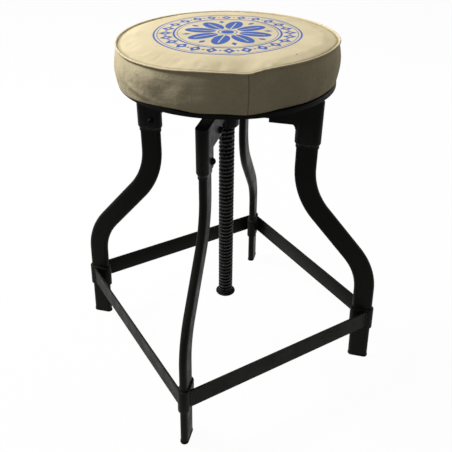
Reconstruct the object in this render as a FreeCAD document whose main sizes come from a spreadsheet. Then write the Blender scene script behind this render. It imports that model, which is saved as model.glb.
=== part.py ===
"""Screw-adjusted machinist stool, in millimetres. Z is up, the floor is Z = 0 and the screw turns on Z."""
import FreeCAD, Part
import math
import os
import Sketcher
from FreeCAD import Placement, Rotation, Vector

# Driving dimensions: name, size, what it is
DIMENSIONS = [
    ("leg_wide", 34.5, "oval leg tube across its wide way, along the radius"),
    ("leg_narrow", 12.5, "oval leg tube across its narrow way"),
    ("leg_wall", 1.5, "wall of the leg tube"),
    ("neck_reach", 129.0, "screw axis to the upright stretch under the seat"),
    ("knee_reach", 247.0, "screw axis to the corner of the lower bend"),
    ("foot_splay", 9.5, "how far the foot stands out past the lower bend"),
    ("neck_drop", 158.0, "bracket's top down to the corner of the upper bend"),
    ("knee_level", 194.0, "height of the corner of the lower bend"),
    ("neck_bend", 123.0, "centreline radius of the upper bend"),
    ("knee_bend", 115.0, "centreline radius of the lower bend"),
    ("foot_thick", 3.0, "foot plug's flange under the tube"),
    ("foot_rim", 0.7, "how far the flange stands out round the tube"),
    ("plug_depth", 14.0, "how far the foot plug goes up the tube"),
    ("plug_gap", 0.15, "room between the plug and the tube's bore"),
    ("bracket_top", 486.5, "height of the corner bracket's top"),
    ("bracket_wall", 3.2, "wall of the bracket round its tubes"),
    ("sleeve_tall", 68.0, "leg sleeve from the bracket's top to its taper"),
    ("taper_drop", 3.5, "height of the taper under the leg sleeve"),
    ("lip_drop", 5.0, "height of the thin lip under the taper"),
    ("lip_wall", 1.2, "wall of that lip"),
    ("arm_sleeve_long", 61.0, "leg's middle to the arm sleeve's inner end"),
    ("bracket_nose", 1.2, "rounding of the bracket's rims"),
    ("web_bend", 8.0, "radius of the hollow web inside the elbow"),
    ("web_thick", 12.0, "thickness of that web"),
    ("sleeve_gap", 0.1, "room between a tube and its sleeve"),
    ("arm_tall", 31.75, "oval arm tube, its height"),
    ("arm_narrow", 12.5, "oval arm tube, its thickness"),
    ("arm_wall", 1.5, "wall of the arm tube"),
    ("web_between", 2.0, "metal between the arm's end and the leg's bore"),
    ("hub_radius", 19.0, "outside of the tapped hub"),
    ("hub_rise", 2.5, "how far the hub stands above the brackets"),
    ("hub_tall", 56.0, "height of the hub"),
    ("hub_bevel", 2.0, "bevel round both ends of the hub"),
    ("screw_radius", 12.7, "crest of the thread"),
    ("screw_long", 387.2, "length of the thread"),
    ("thread_pitch", 7.0, "rise of the single-start thread in a turn"),
    ("thread_depth", 3.0, "depth of the thread"),
    ("thread_flat", 2.5, "width of the thread's crest and of its root"),
    ("thread_gap", 0.3, "room all round between the screw and the hub"),
    ("spigot_radius", 9.4, "plain top of the screw, inside the seat flange"),
    ("spigot_long", 21.0, "length of that plain top"),
    ("stop_radius", 17.5, "stop washer under the screw"),
    ("stop_thick", 2.4, "thickness of the stop washer"),
    ("stop_gap", 0.3, "play of the loose stop washer, above and below"),
    ("stop_bolt", 4.0, "radius of the stop bolt's shank"),
    ("stop_bolt_long", 24.0, "length of the stop bolt's shank in the screw"),
    ("stop_head_radius", 7.0, "stop bolt's head"),
    ("stop_head_tall", 5.0, "height of the stop bolt's head"),
    ("collar_wall", 3.0, "wall of the collar round each leg"),
    ("collar_tall", 43.0, "height of the collar"),
    ("collar_level", 91.0, "height of the collar's middle"),
    ("collar_edge", 1.3, "rounding of the collar's outer rims"),
    ("bar_tall", 34.5, "foot bar, its height"),
    ("bar_thick", 3.2, "foot bar, its thickness"),
    ("bar_rise", 1.5, "foot bar's middle above the collar's middle"),
    ("bar_inset", 1.9, "outer end of a collar's flat side to the bar's outer corner"),
    ("dome_radius", 5.4, "bracket screw's head"),
    ("dome_tall", 5.0, "height of that head"),
    ("pin_radius", 3.0, "bracket screw's shank"),
    ("pin_long", 8.5, "length of that shank"),
    ("pin_gap", 0.1, "room round a shank in its hole"),
    ("socket_wide", 4.0, "hexagon socket across flats"),
    ("socket_deep", 2.6, "depth of a hexagon socket"),
    ("leg_pin_inset", 5.0, "leg's middle to the screw into the leg"),
    ("leg_pin_drop", 56.5, "bracket's top down to that screw"),
    ("arm_pin_inset", 49.0, "leg's middle to the screw into the arm"),
    ("arm_pin_drop", 27.5, "bracket's top down to that screw"),
    ("flange_gap", 0.6, "seat flange above the hub with the seat down"),
    ("flange_boss", 20.0, "radius of the seat flange's boss"),
    ("boss_tall", 17.8, "height of that boss under the plate"),
    ("flange_radius", 58.0, "radius of the seat flange's plate"),
    ("flange_thick", 6.0, "thickness of that plate"),
    ("flange_fillet", 4.0, "hollow between the boss and the plate"),
    ("cross_pin_radius", 3.0, "pin through the boss and the screw"),
    ("cross_pin_rise", 7.0, "that pin above the flange's lower end"),
    ("bolt_circle", 42.0, "screw axis to the seat bolts"),
    ("seat_bolt", 3.0, "radius of a seat bolt"),
    ("seat_bolt_head", 10.0, "seat bolt's hexagon head across flats"),
    ("seat_bolt_head_tall", 4.0, "height of that head"),
    ("nut_barrel", 4.0, "radius of a tee nut's barrel"),
    ("nut_flange", 9.0, "radius of a tee nut's flange"),
    ("nut_flange_thick", 1.2, "thickness of that flange"),
    ("nut_gap", 0.1, "room round a tee nut in the board"),
    ("pan_radius", 162.4, "outside of the seat pan"),
    ("pan_thick", 1.6, "sheet of the seat pan"),
    ("pan_rim", 6.0, "height of the pan's turned-down rim"),
    ("pan_corner", 3.0, "outer rounding where the rim turns down"),
    ("board_room", 1.1, "room between the board's edge and the cover"),
    ("board_thick", 12.0, "thickness of the board"),
    ("canvas", 1.2, "thickness of the cover's canvas"),
    ("soft_gap", 0.3, "room between soft pieces and their neighbours"),
    ("hem_wide", 25.0, "width of the hem under the board"),
    ("cover_out", 0.5, "how far the cover's lower edge stands out past the pan"),
    ("band_belly", 1.6, "how far the cover's side swells at half height"),
    ("seam_out", 0.4, "how far the top seam stands out past the lower edge"),
    ("cushion_tall", 55.0, "seat pan's upper face to the top seam"),
    ("crown", 4.6, "how far the seat's middle stands above the cover's rim"),
    ("crown_flat", 30.0, "radius of the level middle of the crown"),
    ("welt_radius", 1.6, "ridge of the seam round the top"),
]
LEG_TURNS = {"front_left": 225.0, "front_right": 315.0, "back_right": 45.0, "back_left": 135.0}
BAR_TURNS = {"front": 0.0, "right": 90.0, "back": 180.0, "left": 270.0}
H_AXIS, V_AXIS = range(-1, -3, -1)
ORIGIN = H_AXIS
START, END, CENTRE = range(1, 4)

doc = FreeCAD.newDocument("MachinistStool")
sheet = doc.addObject("Spreadsheet::Sheet", "Sizes")
for row, (name, size, note) in enumerate(DIMENSIONS, 1):
    sheet.set("A%d" % row, name)
    sheet.set("B%d" % row, "%g" % size)
    sheet.set("C%d" % row, note)
    sheet.setAlias("B%d" % row, name)
doc.recompute()


class Size:
    """A length that knows its number and the sheet expression that gives it."""

    def __init__(self, value, text):
        self.value = value
        self.text = text

    def __add__(self, other):
        return joined(self, "+", other)

    def __radd__(self, other):
        return joined(other, "+", self)

    def __sub__(self, other):
        return joined(self, "-", other)

    def __rsub__(self, other):
        return joined(other, "-", self)

    def __mul__(self, other):
        return joined(self, "*", other)

    def __rmul__(self, other):
        return joined(other, "*", self)

    def __truediv__(self, other):
        return joined(self, "/", other)

    def __neg__(self):
        return joined(0, "-", self)


def as_size(thing):
    return thing if isinstance(thing, Size) else Size(float(thing), "%.9g" % thing)


def joined(first, sign, second):
    a, b = as_size(first), as_size(second)
    value = {"+": a.value + b.value, "-": a.value - b.value, "*": a.value * b.value}.get(sign)
    if sign == "/":
        value = a.value / b.value
    return Size(value, "(%s %s %s)" % (a.text, sign, b.text))


def slope_of(ratio):
    """An angle off the upright in degrees, from its run over its rise."""
    return Size(math.degrees(math.atan(ratio.value)), "atan(%s)" % ratio.text)


def turned_by(function, angle):
    """The sine, cosine or tangent of an angle in degrees."""
    value = getattr(math, function)(math.radians(angle.value))
    return Size(value, "%s(%s)" % (function, angle.text))


class Sheet:
    """Reads a named cell as a Size."""

    def __getattr__(self, name):
        return Size(float(sheet.get(name)), "Sizes.%s" % name)


S = Sheet()
ROOT_TWO = math.sqrt(2.0)
ROOT_THREE = math.sqrt(3.0)


def bind(thing, prop, size):
    """Give a property its number and tie it to the sheet."""
    size = as_size(size)
    setattr(thing, prop, size.value)
    thing.setExpression(prop, size.text)


def new_body(name):
    body = doc.addObject("PartDesign::Body", name)
    body.Label = name
    return body


def new_sketch(body, role, name, offset=None):
    """A sketch on one of the body's own origin planes, moved along the plane's normal."""
    sketch = body.newObject("Sketcher::SketchObject", name)
    plane = next(item for item in body.Origin.OriginFeatures if item.Role == role)
    sketch.AttachmentSupport = (plane, [""])
    sketch.MapMode = "FlatFace"
    if offset is not None:
        sketch.AttachmentOffset = Placement(Vector(0, 0, offset.value), Rotation())
        sketch.setExpression(".AttachmentOffset.Base.z", offset.text)
    return sketch


def tie(sketch, kind, first, first_pos, second, second_pos, size):
    size = as_size(size)
    index = sketch.addConstraint(Sketcher.Constraint(kind, first, first_pos, second, second_pos, size.value))
    sketch.setExpression("Constraints[%d]" % index, size.text)


def pin_point(sketch, item, position, across, up):
    """Fix a point of the sketch at sizes across and up from the sketch's origin."""
    for kind, axis, size in (("DistanceX", V_AXIS, across), ("DistanceY", H_AXIS, up)):
        size = as_size(size)
        if size.value == 0 and size.text == "0":
            sketch.addConstraint(Sketcher.Constraint("PointOnObject", item, position, axis))
        else:
            tie(sketch, kind, ORIGIN, 1, item, position, size)


def outline(sketch, corners, bulges=None, closed=True):
    """Lines from corner to corner. Bulges gives the rise, to the left, of the arc that leaves a corner."""
    bulges = bulges or {}
    sides = len(corners) if closed else len(corners) - 1
    first = sketch.GeometryCount
    ways = []
    for n in range(sides):
        start, end = corners[n], corners[(n + 1) % len(corners)]
        a, b = flat_point(start), flat_point(end)
        if n in bulges:
            rise = as_size(bulges[n])
            chord = squared(end[0] - start[0]) + squared(end[1] - start[1])
            radius = magnitude((chord / 4 + squared(rise)) / (2 * rise))
            to_left = rise.value > 0
            sketch.addGeometry(shallow_arc(a, b, radius.value, to_left), False)
            tie_radius(sketch, first + n, radius)
            ways.append((END, START) if to_left else (START, END))
        else:
            sketch.addGeometry(Part.LineSegment(a, b), False)
            ways.append((START, END))
    for n in range(sides):
        pin_point(sketch, first + n, ways[n][0], *corners[n])
        if n > 0:
            join_ends(sketch, first + n - 1, ways[n - 1][1], first + n, ways[n][0])
    if closed:
        join_ends(sketch, first + sides - 1, ways[-1][1], first, ways[0][0])
    else:
        pin_point(sketch, first + sides - 1, ways[-1][1], *corners[-1])


def join_ends(sketch, item, position, other, other_position):
    sketch.addConstraint(Sketcher.Constraint("Coincident", item, position, other, other_position))


def flat_point(corner):
    return Vector(as_size(corner[0]).value, as_size(corner[1]).value, 0)


def shallow_arc(a, b, radius, to_left):
    """The minor arc between two points that swells to the left or to the right of the way from a to b."""
    half = (b - a).Length / 2
    along = (b - a).normalize()
    left = Vector(-along.y, along.x, 0)
    back = math.sqrt(radius * radius - half * half)
    centre = (a + b) / 2 + left * (-back if to_left else back)
    start, end = (b, a) if to_left else (a, b)
    begin = math.atan2(start.y - centre.y, start.x - centre.x)
    finish = math.atan2(end.y - centre.y, end.x - centre.x)
    if finish < begin:
        finish += 2 * math.pi
    return Part.ArcOfCircle(Part.Circle(centre, Vector(0, 0, 1), radius), begin, finish)


def squared(size):
    size = as_size(size)
    return size * size


def square_root(size):
    return Size(math.sqrt(size.value), "sqrt(%s)" % size.text)


def magnitude(size):
    return Size(abs(size.value), "abs(%s)" % size.text)


def tie_radius(sketch, item, size):
    index = sketch.addConstraint(Sketcher.Constraint("Radius", item, size.value))
    sketch.setExpression("Constraints[%d]" % index, size.text)


def oval(sketch, wide, narrow, across=0, up=0, upright=False):
    """A flat-sided oval about a centre, its wide way along the sketch's X, or its Y when upright."""
    across, up = as_size(across), as_size(up)
    half = (wide - narrow) / 2
    radius = narrow / 2
    step = (0 * half, half) if upright else (half, 0 * half)
    centre = Vector(across.value, up.value, 0)
    way = Vector(step[0].value, step[1].value, 0)
    side = Vector(-way.y, way.x, 0).normalize() * radius.value
    first = sketch.GeometryCount
    turn = math.pi / 2 if upright else 0.0
    caps = ((centre + way, turn - math.pi / 2, turn + math.pi / 2),
            (centre - way, turn + math.pi / 2, turn + 3 * math.pi / 2))
    for middle, start, end in caps:
        circle = Part.Circle(middle, Vector(0, 0, 1), radius.value)
        sketch.addGeometry(Part.ArcOfCircle(circle, start, end), False)
    sketch.addGeometry(Part.LineSegment(centre + way + side, centre - way + side), False)
    sketch.addGeometry(Part.LineSegment(centre - way - side, centre + way - side), False)
    right, left, top, bottom = first, first + 1, first + 2, first + 3
    for a, a_end, b, b_end in ((right, END, top, START), (top, END, left, START),
                               (left, END, bottom, START), (bottom, END, right, START)):
        sketch.addConstraint(Sketcher.Constraint("Tangent", a, a_end, b, b_end))
    tie_radius(sketch, right, radius)
    signs = ((right, 1), (left, -1))
    for item, sign in signs:
        if upright:
            pin_point(sketch, item, CENTRE, across, up + sign * half)
        else:
            pin_point(sketch, item, CENTRE, across + sign * half, up)


def pad(body, sketch, name, length, reverse=False, middle=False):
    feature = body.newObject("PartDesign::Pad", name)
    feature.Profile = sketch
    bind(feature, "Length", length)
    feature.Reversed = reverse
    feature.SideType = "Symmetric" if middle else "One side"
    return feature


def pocket(body, sketch, name, length, reverse=False):
    feature = body.newObject("PartDesign::Pocket", name)
    feature.Profile = sketch
    bind(feature, "Length", length)
    feature.Reversed = reverse
    return feature


def revolve(body, sketch, name="Turned"):
    feature = body.newObject("PartDesign::Revolution", name)
    feature.Profile = sketch
    feature.ReferenceAxis = (sketch, ["V_Axis"])
    feature.Angle = 360
    return feature


def drill(body, name, radius, length, start, way):
    """A round hole from a start point along a direction."""
    feature = body.newObject("PartDesign::SubtractiveCylinder", name)
    bind(feature, "Radius", radius)
    bind(feature, "Height", length)
    feature.Placement = Placement(start, Rotation(Vector(0, 0, 1), way))
    return feature


def helix_groove(body, sketch, name, height):
    feature = body.newObject("PartDesign::SubtractiveHelix", name)
    feature.Profile = sketch
    feature.ReferenceAxis = (sketch, ["V_Axis"])
    feature.Mode = 0
    bind(feature, "Pitch", S.thread_pitch)
    bind(feature, "Height", height)
    feature.Angle = 0
    feature.LeftHanded = False
    return feature


def round_edges(body, name, radius, chosen, kind="PartDesign::Fillet"):
    """Round or bevel the edges of the body's last feature that the test picks."""
    doc.recompute()
    base = body.Tip
    edges = ["Edge%d" % (n + 1) for n, edge in enumerate(base.Shape.Edges) if chosen(edge)]
    feature = body.newObject(kind, name)
    feature.Base = (base, edges)
    bind(feature, "Radius" if kind.endswith("Fillet") else "Size", radius)
    return feature


def turned(body, angle, stand=Placement()):
    """Put a finished body where it stands on the leg at X, then turn it about the screw axis."""
    body.Placement = Placement(Vector(0, 0, 0), Rotation(Vector(0, 0, 1), angle)).multiply(stand)


def node(name, shape):
    """A group of like solids under one name."""
    feature = doc.addObject("Part::Feature", name)
    feature.Label = name
    feature.Shape = shape
    return feature


def hexagon(width, length):
    """A hexagonal bar along Z, its width measured across the flats."""
    reach = width / ROOT_THREE
    angles = [math.radians(60 * k) for k in range(7)]
    corners = [Vector(reach * math.cos(angle), reach * math.sin(angle), 0) for angle in angles]
    return Part.Face(Part.makePolygon(corners)).extrude(Vector(0, 0, length))


# Reaches and levels that several pieces share
foot_reach = S.knee_reach + S.foot_splay
bracket_inner = S.neck_reach - S.arm_sleeve_long
bracket_low = S.bracket_top - S.sleeve_tall
sleeve_low = bracket_low - S.taper_drop - S.lip_drop
neck_level = S.bracket_top - S.neck_drop
hub_high = S.bracket_top + S.hub_rise
hub_low = hub_high - S.hub_tall
thread_top = hub_high + S.flange_gap
screw_low = thread_top - S.screw_long
screw_top = thread_top + S.spigot_long
stop_top = screw_low - S.stop_gap
stop_low = stop_top - S.stop_thick
flange_plate_low = thread_top + S.boss_tall
pan_level = flange_plate_low + S.flange_thick + S.pan_thick
seam_level = pan_level + S.cushion_tall
leg_pin = (S.neck_reach - S.leg_pin_inset, S.bracket_top - S.leg_pin_drop)
arm_pin = (S.neck_reach - S.arm_pin_inset, S.bracket_top - S.arm_pin_drop)

# The legs' slopes
lean = slope_of(S.foot_splay / S.knee_level)
steep = slope_of((S.knee_reach - S.neck_reach) / (neck_level - S.knee_level))
lean_sine = turned_by("sin", lean)
lean_cosine = turned_by("cos", lean)
foot_point = Vector(foot_reach.value, 0, 0)

# Tubes and the sleeves round them
arm_level = S.bracket_top - S.bracket_wall - S.sleeve_gap - S.arm_tall / 2
leg_top = S.bracket_top - S.bracket_wall - S.sleeve_gap
leg_bore_wide = S.leg_wide + 2 * S.sleeve_gap
leg_bore_narrow = S.leg_narrow + 2 * S.sleeve_gap
sleeve_wide = leg_bore_wide + 2 * S.bracket_wall
sleeve_narrow = leg_bore_narrow + 2 * S.bracket_wall
arm_bore_tall = S.arm_tall + 2 * S.sleeve_gap
arm_bore_narrow = S.arm_narrow + 2 * S.sleeve_gap
arm_sleeve_tall = arm_bore_tall + 2 * S.bracket_wall
arm_sleeve_narrow = arm_bore_narrow + 2 * S.bracket_wall
arm_bore_end = S.neck_reach - leg_bore_wide / 2 - S.web_between
thread_root = S.screw_radius - S.thread_depth

# The cushion: board, foam, top panel, side band with its hem, and the seam between them
band_low = S.pan_radius + S.cover_out
seam_radius = band_low + S.seam_out
board_radius = band_low - S.canvas - S.board_room
hem_inner = band_low - S.hem_wide
board_low = pan_level + 2 * S.soft_gap + S.canvas
board_high = board_low + S.board_thick
band_foot = pan_level + S.soft_gap
band_head = seam_level - S.welt_radius - S.soft_gap
top_edge = seam_level + S.welt_radius / 2
foam_side = S.canvas + S.soft_gap


def on_leg(height):
    """The placement whose Z runs up the leaning lower leg, at a height above the floor."""
    run = height / lean_cosine.value
    tilt = Rotation(Vector(0, 1, 0), -lean.value)
    return Placement(foot_point + tilt.multVec(Vector(0, 0, run)), tilt)


def leg_path(body, name):
    """The leg's centreline from its top down: upright, out through two bends, and down to the plug."""
    path = new_sketch(body, "XZ_Plane", name)
    steep_sine, steep_cosine = turned_by("sin", steep), turned_by("cos", steep)
    neck_run = S.neck_bend * turned_by("tan", steep / 2)
    knee_run = S.knee_bend * turned_by("tan", (steep - lean) / 2)
    corners = [(S.neck_reach, leg_top),
               (S.neck_reach, neck_level + neck_run),
               (S.neck_reach + neck_run * steep_sine, neck_level - neck_run * steep_cosine),
               (S.knee_reach - knee_run * steep_sine, S.knee_level + knee_run * steep_cosine),
               (S.knee_reach + knee_run * lean_sine, S.knee_level - knee_run * lean_cosine),
               (foot_reach - S.foot_thick * lean_sine, S.foot_thick * lean_cosine)]
    neck_rise = S.neck_bend * (1 - turned_by("cos", steep / 2))
    knee_rise = S.knee_bend * (1 - turned_by("cos", (steep - lean) / 2))
    outline(path, corners, {1: -neck_rise, 3: knee_rise}, closed=False)
    return path


def leg(name, angle):
    body = new_body(name)
    path = leg_path(body, name + "_path")
    outer = new_sketch(body, "XY_Plane", name + "_outside", leg_top)
    oval(outer, S.leg_wide, S.leg_narrow, across=S.neck_reach)
    inner = new_sketch(body, "XY_Plane", name + "_inside", leg_top)
    oval(inner, S.leg_wide - 2 * S.leg_wall, S.leg_narrow - 2 * S.leg_wall, across=S.neck_reach)
    doc.recompute()
    for kind, section in (("AdditivePipe", outer), ("SubtractivePipe", inner)):
        pipe = body.newObject("PartDesign::" + kind, name + "_" + kind)
        pipe.Profile = section
        pipe.Spine = path
    doc.recompute()
    pin_hole(body, name + "_hole", leg_pin, S.leg_narrow)
    turned(body, angle)


def pin_hole(body, name, place, length):
    """A bracket screw's hole, from the middle of a tube out through its counterclockwise side."""
    start = Vector(place[0].value, 0, place[1].value)
    drill(body, name, S.pin_radius + S.pin_gap, length, start, Vector(0, 1, 0))


def foot_plug(name, angle):
    body = new_body(name)
    insert = new_sketch(body, "XY_Plane", name + "_insert")
    slack = 2 * (S.leg_wall + S.plug_gap)
    oval(insert, S.leg_wide - slack, S.leg_narrow - slack)
    pad(body, insert, name + "_stem", S.foot_thick + S.plug_depth)
    flange = new_sketch(body, "XY_Plane", name + "_flange", S.foot_thick)
    oval(flange, S.leg_wide + 2 * S.foot_rim, S.leg_narrow + 2 * S.foot_rim)
    pad(body, flange, name + "_base", 2 * S.foot_thick, reverse=True)
    doc.recompute()
    floor = body.newObject("PartDesign::SubtractiveBox", name + "_floor")
    for side in ("Length", "Width", "Height"):
        bind(floor, side, 2 * S.leg_wide)
    level = Rotation(Vector(0, 1, 0), lean.value)
    corner = Vector(-S.leg_wide.value, -S.leg_wide.value, -2 * S.leg_wide.value)
    floor.Placement = Placement(level.multVec(corner), level)
    turned(body, angle, on_leg(0.0))


def collar(name, angle):
    body = new_body(name)
    section = new_sketch(body, "XY_Plane", name + "_section")
    slack = 2 * S.sleeve_gap
    grown = slack + 2 * S.collar_wall
    oval(section, S.leg_wide + grown, S.leg_narrow + grown)
    oval(section, S.leg_wide + slack, S.leg_narrow + slack)
    pad(body, section, name + "_ring", S.collar_tall, middle=True)
    reach = (S.leg_narrow + slack + S.collar_wall).value / 2

    def outer_rim(edge):
        box = edge.BoundBox
        flat = box.ZLength < 1e-6
        return flat and max(abs(box.YMin), abs(box.YMax)) > reach - 1e-6

    round_edges(body, name + "_rims", S.collar_edge, outer_rim)
    turned(body, angle, on_leg(S.collar_level.value))


def foot_bar(name, angle):
    """A flat bar between two collars, its ends mitred to lie on their flat sides."""
    body = new_body(name)
    level = S.collar_level + S.bar_rise
    plan = new_sketch(body, "XY_Plane", name + "_plan", level - S.bar_tall / 2)
    side = S.leg_narrow / 2 + S.sleeve_gap + S.collar_wall
    leg_middle = foot_reach - level * S.foot_splay / S.knee_level
    flat_end = leg_middle + (S.leg_wide - S.leg_narrow) / 2
    reach = (flat_end - S.bar_inset + side) / ROOT_TWO
    outer_end = reach - ROOT_TWO * side
    inner_end = outer_end - S.bar_thick
    outer, inner = -reach, S.bar_thick - reach
    outline(plan, [(-outer_end, outer), (outer_end, outer), (inner_end, inner), (-inner_end, inner)])
    pad(body, plan, name + "_bar", S.bar_tall)
    turned(body, angle)


def bracket(name, angle):
    """The cast elbow over a leg's top: a sleeve for the leg, a squarish one for the arm and a hollow web."""
    body = new_body(name)
    plan = new_sketch(body, "XY_Plane", name + "_sleeve", bracket_low)
    oval(plan, sleeve_wide, sleeve_narrow, across=S.neck_reach)
    pad(body, plan, name + "_upright", S.sleeve_tall)
    doc.recompute()

    def top_rim(edge):
        return edge.BoundBox.ZMin > S.bracket_top.value - 1e-6

    round_edges(body, name + "_nose", S.bracket_nose, top_rim)
    arm_end = new_sketch(body, "YZ_Plane", name + "_arm_sleeve", bracket_inner)
    under = S.bracket_top - arm_sleeve_tall
    rounded_box(arm_end, arm_sleeve_narrow / 2, under, S.bracket_top, S.bracket_nose)
    pad(body, arm_end, name + "_arm", S.arm_sleeve_long)
    corner = S.neck_reach - sleeve_wide / 2
    deep = S.bracket_wall
    web = new_sketch(body, "XZ_Plane", name + "_web")
    hollow = (1 - 1 / ROOT_TWO) * S.web_bend
    outline(web, [(corner - S.web_bend, under), (corner, under - S.web_bend),
                  (corner + deep, under - S.web_bend), (corner + deep, under + deep),
                  (corner - S.web_bend, under + deep)], {0: hollow})
    pad(body, web, name + "_gusset", S.web_thick, middle=True)
    lip_wide, lip_narrow = leg_bore_wide + 2 * S.lip_wall, leg_bore_narrow + 2 * S.lip_wall
    ends = []
    for label, level, wide, narrow in (("top", bracket_low, sleeve_wide, sleeve_narrow),
                                       ("low", bracket_low - S.taper_drop, lip_wide, lip_narrow),
                                       ("lip", sleeve_low, lip_wide, lip_narrow)):
        ends.append(new_sketch(body, "XY_Plane", name + "_taper_" + label, level))
        oval(ends[-1], wide, narrow, across=S.neck_reach)
    doc.recompute()
    taper = body.newObject("PartDesign::AdditiveLoft", name + "_taper")
    taper.Profile = ends[0]
    taper.Sections = ends[1:]
    taper.Ruled = True
    doc.recompute()
    bore = new_sketch(body, "XY_Plane", name + "_leg_bore", sleeve_low)
    oval(bore, leg_bore_wide, leg_bore_narrow, across=S.neck_reach)
    pocket(body, bore, name + "_leg_hole", S.bracket_top - S.bracket_wall - sleeve_low, reverse=True)
    arm_bore = new_sketch(body, "YZ_Plane", name + "_arm_bore", bracket_inner)
    oval(arm_bore, arm_bore_tall, arm_bore_narrow, up=arm_level, upright=True)
    pocket(body, arm_bore, name + "_arm_hole", arm_bore_end - bracket_inner, reverse=True)
    doc.recompute()
    for label, place in (("leg", leg_pin), ("arm", arm_pin)):
        pin_hole(body, name + "_" + label + "_pin", place, sleeve_narrow)
    turned(body, angle)


def rounded_box(sketch, half, low, high, nose):
    """An upright box about the sketch's middle with its four corners rounded."""
    bulge = (1 - 1 / ROOT_TWO) * nose
    outline(sketch, [(-half, low + nose), (nose - half, low), (half - nose, low), (half, low + nose),
                     (half, high - nose), (half - nose, high), (nose - half, high), (-half, high - nose)],
            {0: -bulge, 2: -bulge, 4: -bulge, 6: -bulge})


def arm(name, angle):
    body = new_body(name)
    ends = {}
    for label, slim in (("outside", 0 * S.arm_wall), ("inside", 2 * S.arm_wall)):
        ends[label] = new_sketch(body, "YZ_Plane", name + "_" + label, S.hub_radius / 2)
        oval(ends[label], S.arm_tall - slim, S.arm_narrow - slim, up=arm_level, upright=True)
    length = arm_bore_end - S.sleeve_gap - S.hub_radius / 2
    pad(body, ends["outside"], name + "_tube", length)
    pocket(body, ends["inside"], name + "_bore", length, reverse=True)
    doc.recompute()
    drill(body, name + "_saddle", S.hub_radius, S.bracket_top, Vector(0, 0, 0), Vector(0, 0, 1))
    pin_hole(body, name + "_hole", arm_pin, S.arm_narrow)
    turned(body, angle)


def thread_section(sketch, centre, inner, outer, inner_width, outer_width):
    """The section of a helical groove, its middle at a height."""
    outline(sketch, [(inner, centre - inner_width / 2), (outer, centre - outer_width / 2),
                     (outer, centre + outer_width / 2), (inner, centre + inner_width / 2)])


def hub():
    body = new_body("hub")
    section = new_sketch(body, "XZ_Plane", "hub_section")
    bore = thread_root + S.thread_gap
    outline(section, [(bore, hub_low), (S.hub_radius - S.hub_bevel, hub_low),
                      (S.hub_radius, hub_low + S.hub_bevel), (S.hub_radius, hub_high - S.hub_bevel),
                      (S.hub_radius - S.hub_bevel, hub_high), (bore, hub_high)])
    revolve(body, section, "hub_boss")
    doc.recompute()
    groove = new_sketch(body, "XZ_Plane", "hub_thread")
    flank = (S.thread_pitch / 2 - S.thread_flat) / S.thread_depth
    slack = 2 * S.thread_gap * square_root(1 + squared(flank))
    inner, outer = thread_root, S.screw_radius + S.thread_gap
    crest_width = S.thread_flat + slack - 2 * flank * S.thread_gap
    root_width = crest_width + 2 * flank * (outer - inner)
    # The screw's crests lie half a pitch past whole turns up from its lower end
    turns_below = math.floor((hub_low.value - screw_low.value) / S.thread_pitch.value) - 1
    centre = screw_low + (turns_below + 0.5) * S.thread_pitch
    thread_section(groove, centre, inner, outer, root_width, crest_width)
    helix_groove(body, groove, "hub_tapping", S.hub_tall + 4 * S.thread_pitch)


def screw():
    body = new_body("screw")
    section = new_sketch(body, "XZ_Plane", "screw_section")
    bore = S.stop_bolt + S.pin_gap
    deep = screw_low + S.stop_bolt_long
    bevel = S.thread_depth / 2
    outline(section, [(bore, screw_low), (S.screw_radius - bevel, screw_low),
                      (S.screw_radius, screw_low + bevel), (S.screw_radius, thread_top - bevel),
                      (S.screw_radius - bevel, thread_top), (S.spigot_radius, thread_top),
                      (S.spigot_radius, screw_top), (0, screw_top), (0, deep), (bore, deep)])
    revolve(body, section, "screw_blank")
    doc.recompute()
    groove = new_sketch(body, "XZ_Plane", "screw_thread")
    flank = (S.thread_pitch / 2 - S.thread_flat) / S.thread_depth
    past_crest = S.thread_depth / 3
    mouth = S.thread_pitch - S.thread_flat + 2 * flank * past_crest
    thread_section(groove, screw_low - S.thread_pitch, thread_root, S.screw_radius + past_crest,
                   S.thread_flat, mouth)
    helix_groove(body, groove, "screw_cutting", S.screw_long + 2 * S.thread_pitch)
    doc.recompute()
    cross_hole(body, S.spigot_radius)


def cross_hole(body, reach):
    """The cross pin's hole, right through a round piece of the given radius."""
    start = Vector(-2 * reach.value, 0, (thread_top + S.cross_pin_rise).value)
    drill(body, body.Name + "_pin_hole", S.cross_pin_radius + S.pin_gap, 4 * reach, start, Vector(1, 0, 0))


def stop_washer():
    body = new_body("stop_washer")
    section = new_sketch(body, "XZ_Plane", "washer_section")
    bore = S.stop_bolt + S.stop_gap
    edge = S.stop_thick / 4
    outline(section, [(bore, stop_low), (S.stop_radius - edge, stop_low), (S.stop_radius, stop_low + edge),
                      (S.stop_radius, stop_top - edge), (S.stop_radius - edge, stop_top), (bore, stop_top)])
    revolve(body, section)


def stop_bolt():
    head_top = stop_low - S.stop_gap
    head_low = head_top - S.stop_head_tall
    body = new_body("stop_bolt")
    section = new_sketch(body, "XZ_Plane", "stop_bolt_section")
    edge = S.stop_head_tall / 5
    tip = screw_low + S.stop_bolt_long - S.pin_gap
    outline(section, [(0, head_low), (S.stop_head_radius - edge, head_low),
                      (S.stop_head_radius, head_low + edge), (S.stop_head_radius, head_top),
                      (S.stop_bolt, head_top), (S.stop_bolt, tip), (0, tip)])
    revolve(body, section)
    doc.recompute()
    socket = new_sketch(body, "XY_Plane", "stop_bolt_socket", head_low)
    half, reach = S.socket_wide / 2, S.socket_wide / ROOT_THREE
    outline(socket, [(reach, 0), (reach / 2, half), (-reach / 2, half),
                     (-reach, 0), (-reach / 2, -half), (reach / 2, -half)])
    pocket(body, socket, "stop_bolt_hexagon", S.socket_deep, reverse=True)


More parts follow.
